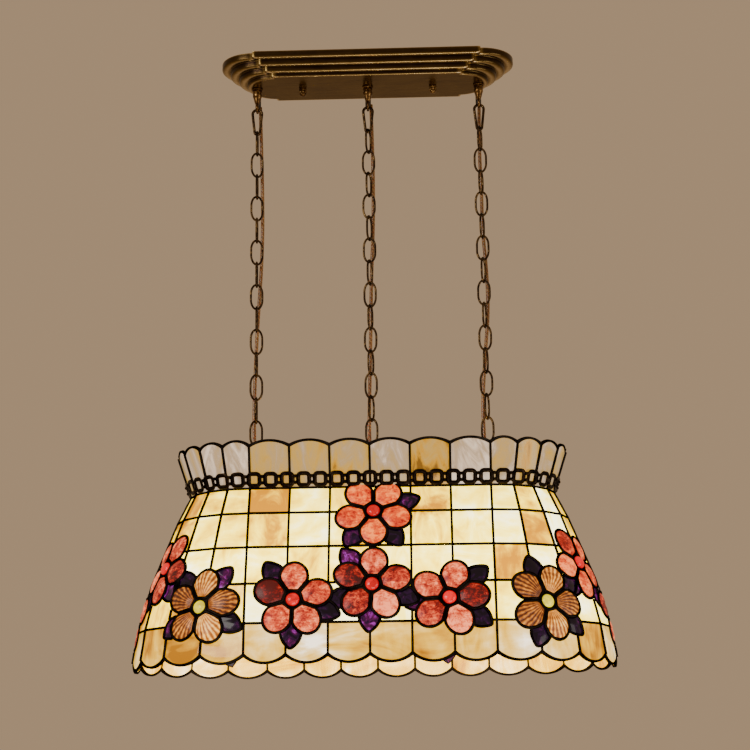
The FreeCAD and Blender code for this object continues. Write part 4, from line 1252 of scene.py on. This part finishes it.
def leaf_rim(flower, bearing):
    """Points out along one side of a leaf and back along the other, None where they fall off the shade."""
    here = flower_frame(flower.u, flower.v)
    middle, along, rise, outward = here
    spin = Matrix.Rotation(math.radians(bearing), 2)
    points = []
    for k in range(2 * LEAF_STEPS + 1):
        share = 1 - abs(k - LEAF_STEPS) / LEAF_STEPS
        wide = leaf_width(share, CAME / 2) * (1 if k < LEAF_STEPS else -1)
        flat = spin @ Vector((LEAF_FROM + (LEAF_TO - LEAF_FROM + CAME / 2) * share, wide))
        height = surface_height(here, flat.x, flat.y, range(int(flower.u) - 2, int(flower.u) + 3))
        points.append(None if height is None
                      else middle + along * flat.x + rise * flat.y + outward * (height + LEAF_LIFT))
    return points


leaf_runs = []
for number, flower in enumerate(FLOWERS):
    for bearing in flower.leaves:
        leaf_runs += clear_runs(leaf_rim(flower, bearing), FLOWERS[:number], 3)
print("leaf rim runs:", len(leaf_runs))

# %% [markdown]
# ## Lines of the seams
# Between two panes the solder stands a little proud of the glass, and that ridge is what catches the light.
# Its lines are the shade's own seams, moved out by the ridge's height and cut where a flower covers them.

# %% Seam lines
SEAM_PROUD = 2.0
UPRIGHT_STEPS, LEVEL_STEPS = 16, 14


def seam_runs(start, end, steps):
    return clear_runs([start.lerp(end, k / steps) for k in range(steps + 1)], FLOWERS, 2)


def standing_off(column, radius, z):
    return seam_point(column, (radius + SEAM_PROUD) * MM, z * MM)


seam_lines = []
for column in range(2 * LAP):
    for row in range(len(LEVELS) - 1):
        (high, wide), (low, wider) = LEVELS[row], LEVELS[row + 1]
        seam_lines += seam_runs(standing_off(column, wide, high), standing_off(column, wider, low),
                                UPRIGHT_STEPS)
    for high, wide in LEVELS[1:-1]:
        seam_lines += seam_runs(standing_off(column, wide, high), standing_off(column + 1, wide, high),
                                LEVEL_STEPS)
print("seam runs:", len(seam_lines))

# %% [markdown]
# ## Beads of solder
# A bead run by hand is never quite even. A node tree sweeps it: the lines come in as edges, become curves
# with points at an even spacing, and a slow noise makes the wire a little thicker and thinner. The three
# kinds of bead differ only in their lines and their size, so they share the tree.

# %% Beads
def bead_tree():
    weave = Weave("solder_bead", Bead=0.0018, Unevenness=0.22, Lumps=110.0, Solder=None)
    line = weave.add("GeometryNodeMeshToCurve", Mesh=weave.size("Lines"))
    even = weave.add("GeometryNodeResampleCurve", 0, {"mode": "LENGTH"}, Curve=line, Length=0.0022)
    noise_here = weave.add("ShaderNodeTexNoise", 0, Vector=weave.add("GeometryNodeInputPosition"),
                           Scale=weave.size("Lumps"), Detail=1.0)
    swing = weave.maths("MULTIPLY", weave.maths("SUBTRACT", noise_here, 0.5), weave.size("Unevenness"))
    thickness = weave.maths("MULTIPLY_ADD", swing, 2.0, 1.0)
    section = weave.add("GeometryNodeCurvePrimitiveCircle", Resolution=8, Radius=weave.size("Bead"))
    bead = weave.add("GeometryNodeCurveToMesh", Curve=even, i1=section, i2=thickness, i3=True)
    weave.finish(bead, "Solder")
    return weave


def line_mesh(name, lines, closed):
    """Lines of points as a mesh of edges, each line joined to its own start when closed."""
    points, edges = [], []
    for line in lines:
        first = len(points)
        points += line
        edges += [(first + k, first + k + 1) for k in range(len(line) - 1)]
        if closed:
            edges.append((first + len(line) - 1, first))
    mesh = bpy.data.meshes.new(name)
    mesh.from_pydata(points, edges, [])
    return mesh


BEADS = [("petal_beads", petal_rims, True, 0.0021), ("leaf_beads", leaf_runs, False, 0.0019),
         ("seam_beads", seam_lines, False, 0.00155)]
bead_weave = bead_tree()
for name, lines, closed, bead in BEADS:
    mesh = bead_weave.grow(name, line_mesh(name, lines, closed), Bead=bead, Solder=black_solder)
    piece(name, mesh, black_solder, "shade", "solder", smooth=60)
    print(name, len(mesh.polygons), "faces")

# %% [markdown]
# ## The pierced neck band
# A strip of pierced bronze hides the joint between crown and bell. It repeats one rounded loop with two
# short bars to the next, so it is again a node tree: a stadium curve gives evenly spaced points, a filleted
# rectangle swept with a flat oval section gives the loop, and each instance is turned to the curve's
# tangent.

# %% Neck band
def band_tree():
    weave = Weave("neck_band_loops", Loops=56, Straight=STRAIGHT, Radius=0.0918, Height=0.0, Pitch=0.0214,
                  Tall=0.021, Gap=0.0016, Stock=0.0056, Thick=0.002, Bar=0.0023, Tilt=0.0, Bronze=None)
    ring = weave.add("GeometryNodeCurvePrimitiveCircle", Resolution=160, Radius=weave.size("Radius"))
    x = weave.add("ShaderNodeSeparateXYZ", 0, Vector=weave.add("GeometryNodeInputPosition"))
    half = weave.maths("MULTIPLY", weave.size("Straight"), 0.5)
    shift = weave.maths("MULTIPLY", weave.maths("SIGN", x), half)
    spread = weave.add("ShaderNodeCombineXYZ", X=shift, Z=weave.size("Height"))
    stadium = weave.add("GeometryNodeSetPosition", Geometry=ring, Offset=spread)
    spots = weave.add("GeometryNodeCurveToPoints", 0, {"mode": "COUNT"}, Curve=stadium,
                      Count=weave.size("Loops"))
    heading = spots.node.outputs["Tangent"]
    lead_x = weave.add("ShaderNodeSeparateXYZ", 0, Vector=heading)
    lead_y = weave.add("ShaderNodeSeparateXYZ", 1, Vector=heading)
    turn = weave.add("ShaderNodeCombineXYZ", Z=weave.maths("ARCTAN2", lead_y, lead_x))
    wide = weave.maths("SUBTRACT", weave.maths("SUBTRACT", weave.size("Pitch"), weave.size("Gap")),
                       weave.size("Stock"))
    high = weave.maths("SUBTRACT", weave.size("Tall"), weave.size("Stock"))
    square = weave.add("GeometryNodeCurvePrimitiveQuadrilateral", Width=wide, Height=high)
    rounded = weave.add("GeometryNodeFilletCurve", 0, {"mode": "POLY"}, Curve=square, Count=4, Radius=0.0042)
    standing = weave.add("GeometryNodeTransform", Geometry=rounded, Rotation=(math.pi / 2, 0, 0))
    section = weave.add("GeometryNodeCurvePrimitiveCircle", Resolution=8, Radius=1.0)
    oval_size = weave.add("ShaderNodeCombineXYZ", X=weave.maths("MULTIPLY", weave.size("Thick"), 0.6),
                          Y=weave.maths("MULTIPLY", weave.size("Stock"), 0.5), Z=1.0)
    oval = weave.add("GeometryNodeTransform", Geometry=section, Scale=oval_size)
    loop = weave.add("GeometryNodeCurveToMesh", Curve=standing, i1=oval)
    reach = weave.maths("MULTIPLY", weave.size("Pitch"), 0.5)
    near = weave.maths("SUBTRACT", reach, weave.size("Gap"))
    far = weave.maths("ADD", reach, weave.size("Gap"))
    pieces = [loop]
    wire = weave.add("GeometryNodeCurvePrimitiveCircle", Resolution=8, Radius=weave.size("Bar"))
    for share in (-0.2, 0.2):
        level_z = weave.maths("MULTIPLY", weave.size("Tall"), share)
        start = weave.add("ShaderNodeCombineXYZ", X=near, Z=level_z)
        end = weave.add("ShaderNodeCombineXYZ", X=far, Z=level_z)
        bar = weave.add("GeometryNodeCurvePrimitiveLine", Start=start, End=end)
        pieces.append(weave.add("GeometryNodeCurveToMesh", Curve=bar, i1=wire, i3=True))
    unit = weave.tree.nodes.new("GeometryNodeJoinGeometry")
    for part in pieces:
        weave.tree.links.new(part, unit.inputs[0])
    leaning = weave.add("ShaderNodeCombineXYZ", X=weave.size("Tilt"))
    tilted = weave.add("GeometryNodeTransform", Geometry=unit.outputs[0], Rotation=leaning)
    row = weave.add("GeometryNodeInstanceOnPoints", Points=spots, Instance=tilted, Rotation=turn)
    weave.finish(row, "Bronze")
    return weave


band_low, band_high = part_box("neck_band")
BAND_RADIUS, BAND_LOOPS, BAND_TILT = 0.0918, 56, math.radians(18.8)
mesh = band_tree().grow("pierced_band", Radius=BAND_RADIUS, Loops=BAND_LOOPS, Tilt=BAND_TILT,
                        Height=(band_low[2] + band_high[2]) / 2,
                        Pitch=(2 * STRAIGHT + 2 * math.pi * BAND_RADIUS) / BAND_LOOPS, Bronze=band_bronze)
piece("pierced_band", mesh, band_bronze, "shade", "dark_bronze", "neck_band", smooth=50)
print("band loops:", BAND_LOOPS, "faces:", len(mesh.polygons))

# %% [markdown]
# ## Lampholders and bulbs
# Seen only from below: a spun cap, a shell, a porcelain core and a frosted bulb for each station. The globe
# is a lathe profile that swells from the thread, and its light is the white heart of the shade's glow.

# %% Bulbs
low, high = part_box("bulb_globes")
GLOBE_STEPS, GLOBE_SWEEP = 14, math.pi * 0.73
globe = [(0.0002, 0.0)]
for k in range(1, GLOBE_STEPS + 1):
    angle = GLOBE_SWEEP * k / GLOBE_STEPS
    globe.append((GLOBE_RADIUS * math.sin(angle), GLOBE_RADIUS * (1 - math.cos(angle))))
globe += [(0.0172, 0.0556), (0.0145, 0.0640), (0.0132, 0.0760), (0.0129, high[2] - low[2] - 0.0005)]

base_low, base_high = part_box("bulb_bases")
THREADS, BASE_STEPS, THREAD_LENGTH = 7, 40, 0.026
base = [(0.0131, base_low[2])]
for k in range(1, BASE_STEPS):
    share = k / BASE_STEPS
    radius = 0.0127 + 0.0004 * math.cos(share * 2 * math.pi * THREADS)
    base.append((radius, base_low[2] + THREAD_LENGTH * share))
base.append((0.008, base_high[2]))

globes, bases = bmesh.new(), bmesh.new()
globes.verts.layers.float.new("tone")
for x in SPOTS:
    turned(globes, [(r, low[2] + h) for r, h in globe], (x, 0, 0), segments=36)
    turned(bases, base, (x, 0, 0), segments=32)
piece("frosted_bulbs", from_bmesh("frosted_bulbs", globes), lit_bulb, "shade", "bulb_glass", "bulb_globes",
      smooth=60)
piece("threaded_bases", from_bmesh("threaded_bases", bases), bulb_metal, "shade", "lamp_cap", "bulb_bases",
      smooth=50)
print("bulbs made")

# %% [markdown]
# ## Finishes for the frame's own parts
# What the lathe and the press made plainly in the frame can stay as it is. It only needs its finish.

# %% Finishes on frame parts
KEPT = {
    plated_steel: ["ceiling_strap", "canopy_studs", "stud_nuts", "canopy_nipples", "canopy_washers",
                   "canopy_nuts", "terminal_screws", "shade_nipples", "shade_nuts"],
    turned_brass: ["earth_screw", "holder_caps", "holder_shells"],
    dark_bronze: ["neck_ring", "cross_bars"],
    black_plastic: ["upper_cord_sleeves", "lower_cord_sleeves"],
    white_plastic: ["terminal_block"],
    porcelain: ["holder_cores"],
}
for material, names in KEPT.items():
    for name in names:
        nodes[name].data.materials.clear()
        nodes[name].data.materials.append(material)
print("frame parts dressed:", sum(len(names) for names in KEPT.values()))

# %% [markdown]
# ## Floor, light and finish
# A pale floor well below, a soft warm surround, one large light from the left front, a weaker one from the
# right and a small one from below keep the metal lively without hard shadows.

# %% Studio
FLOOR_REACH, FLOOR_LEVEL = 9, -2.6
corners = [(x * FLOOR_REACH, y * FLOOR_REACH, FLOOR_LEVEL) for x, y in ((-1, -1), (1, -1), (1, 1), (-1, 1))]
floor_mesh = bpy.data.meshes.new("floor")
floor_mesh.from_pydata(corners, [], [(0, 1, 2, 3)])
floor = bpy.data.objects.new("floor", floor_mesh)
bpy.context.scene.collection.objects.link(floor)
ground = Finish("pale_floor", Roughness=0.8)
ground.set(Base_Color=ground.cloud(1.5).tint((0.6, 0.54, 0.47), (0.64, 0.58, 0.51)))
floor_mesh.materials.append(ground.material)

world = bpy.data.worlds.new("studio")
bpy.context.scene.world = world
world.use_nodes = True
surround = world.node_tree.nodes["Background"].inputs
surround["Color"].default_value = (0.46, 0.315, 0.19, 1)
surround["Strength"].default_value = 0.88


def soft_light(name, place, target, size, watts, tint):
    lamp = bpy.data.lights.new(name, "AREA")
    lamp.shape, lamp.size, lamp.energy, lamp.color = "SQUARE", size, watts, tint
    thing = bpy.data.objects.new(name, lamp)
    thing.location = place
    thing.rotation_euler = (Vector(target) - Vector(place)).to_track_quat("-Z", "Y").to_euler()
    bpy.context.scene.collection.objects.link(thing)


soft_light("key", (-1.6, -2.0, 0.2), (0, 0, -0.4), 1.2, 20, (1.0, 0.95, 0.88))
soft_light("fill", (2.2, -1.4, -0.9), (0, 0, -0.5), 1.6, 14, (1.0, 0.93, 0.85))
soft_light("under", (0.3, -1.2, -1.6), (0, 0, -0.1), 1.0, 8, (1.0, 0.9, 0.78))
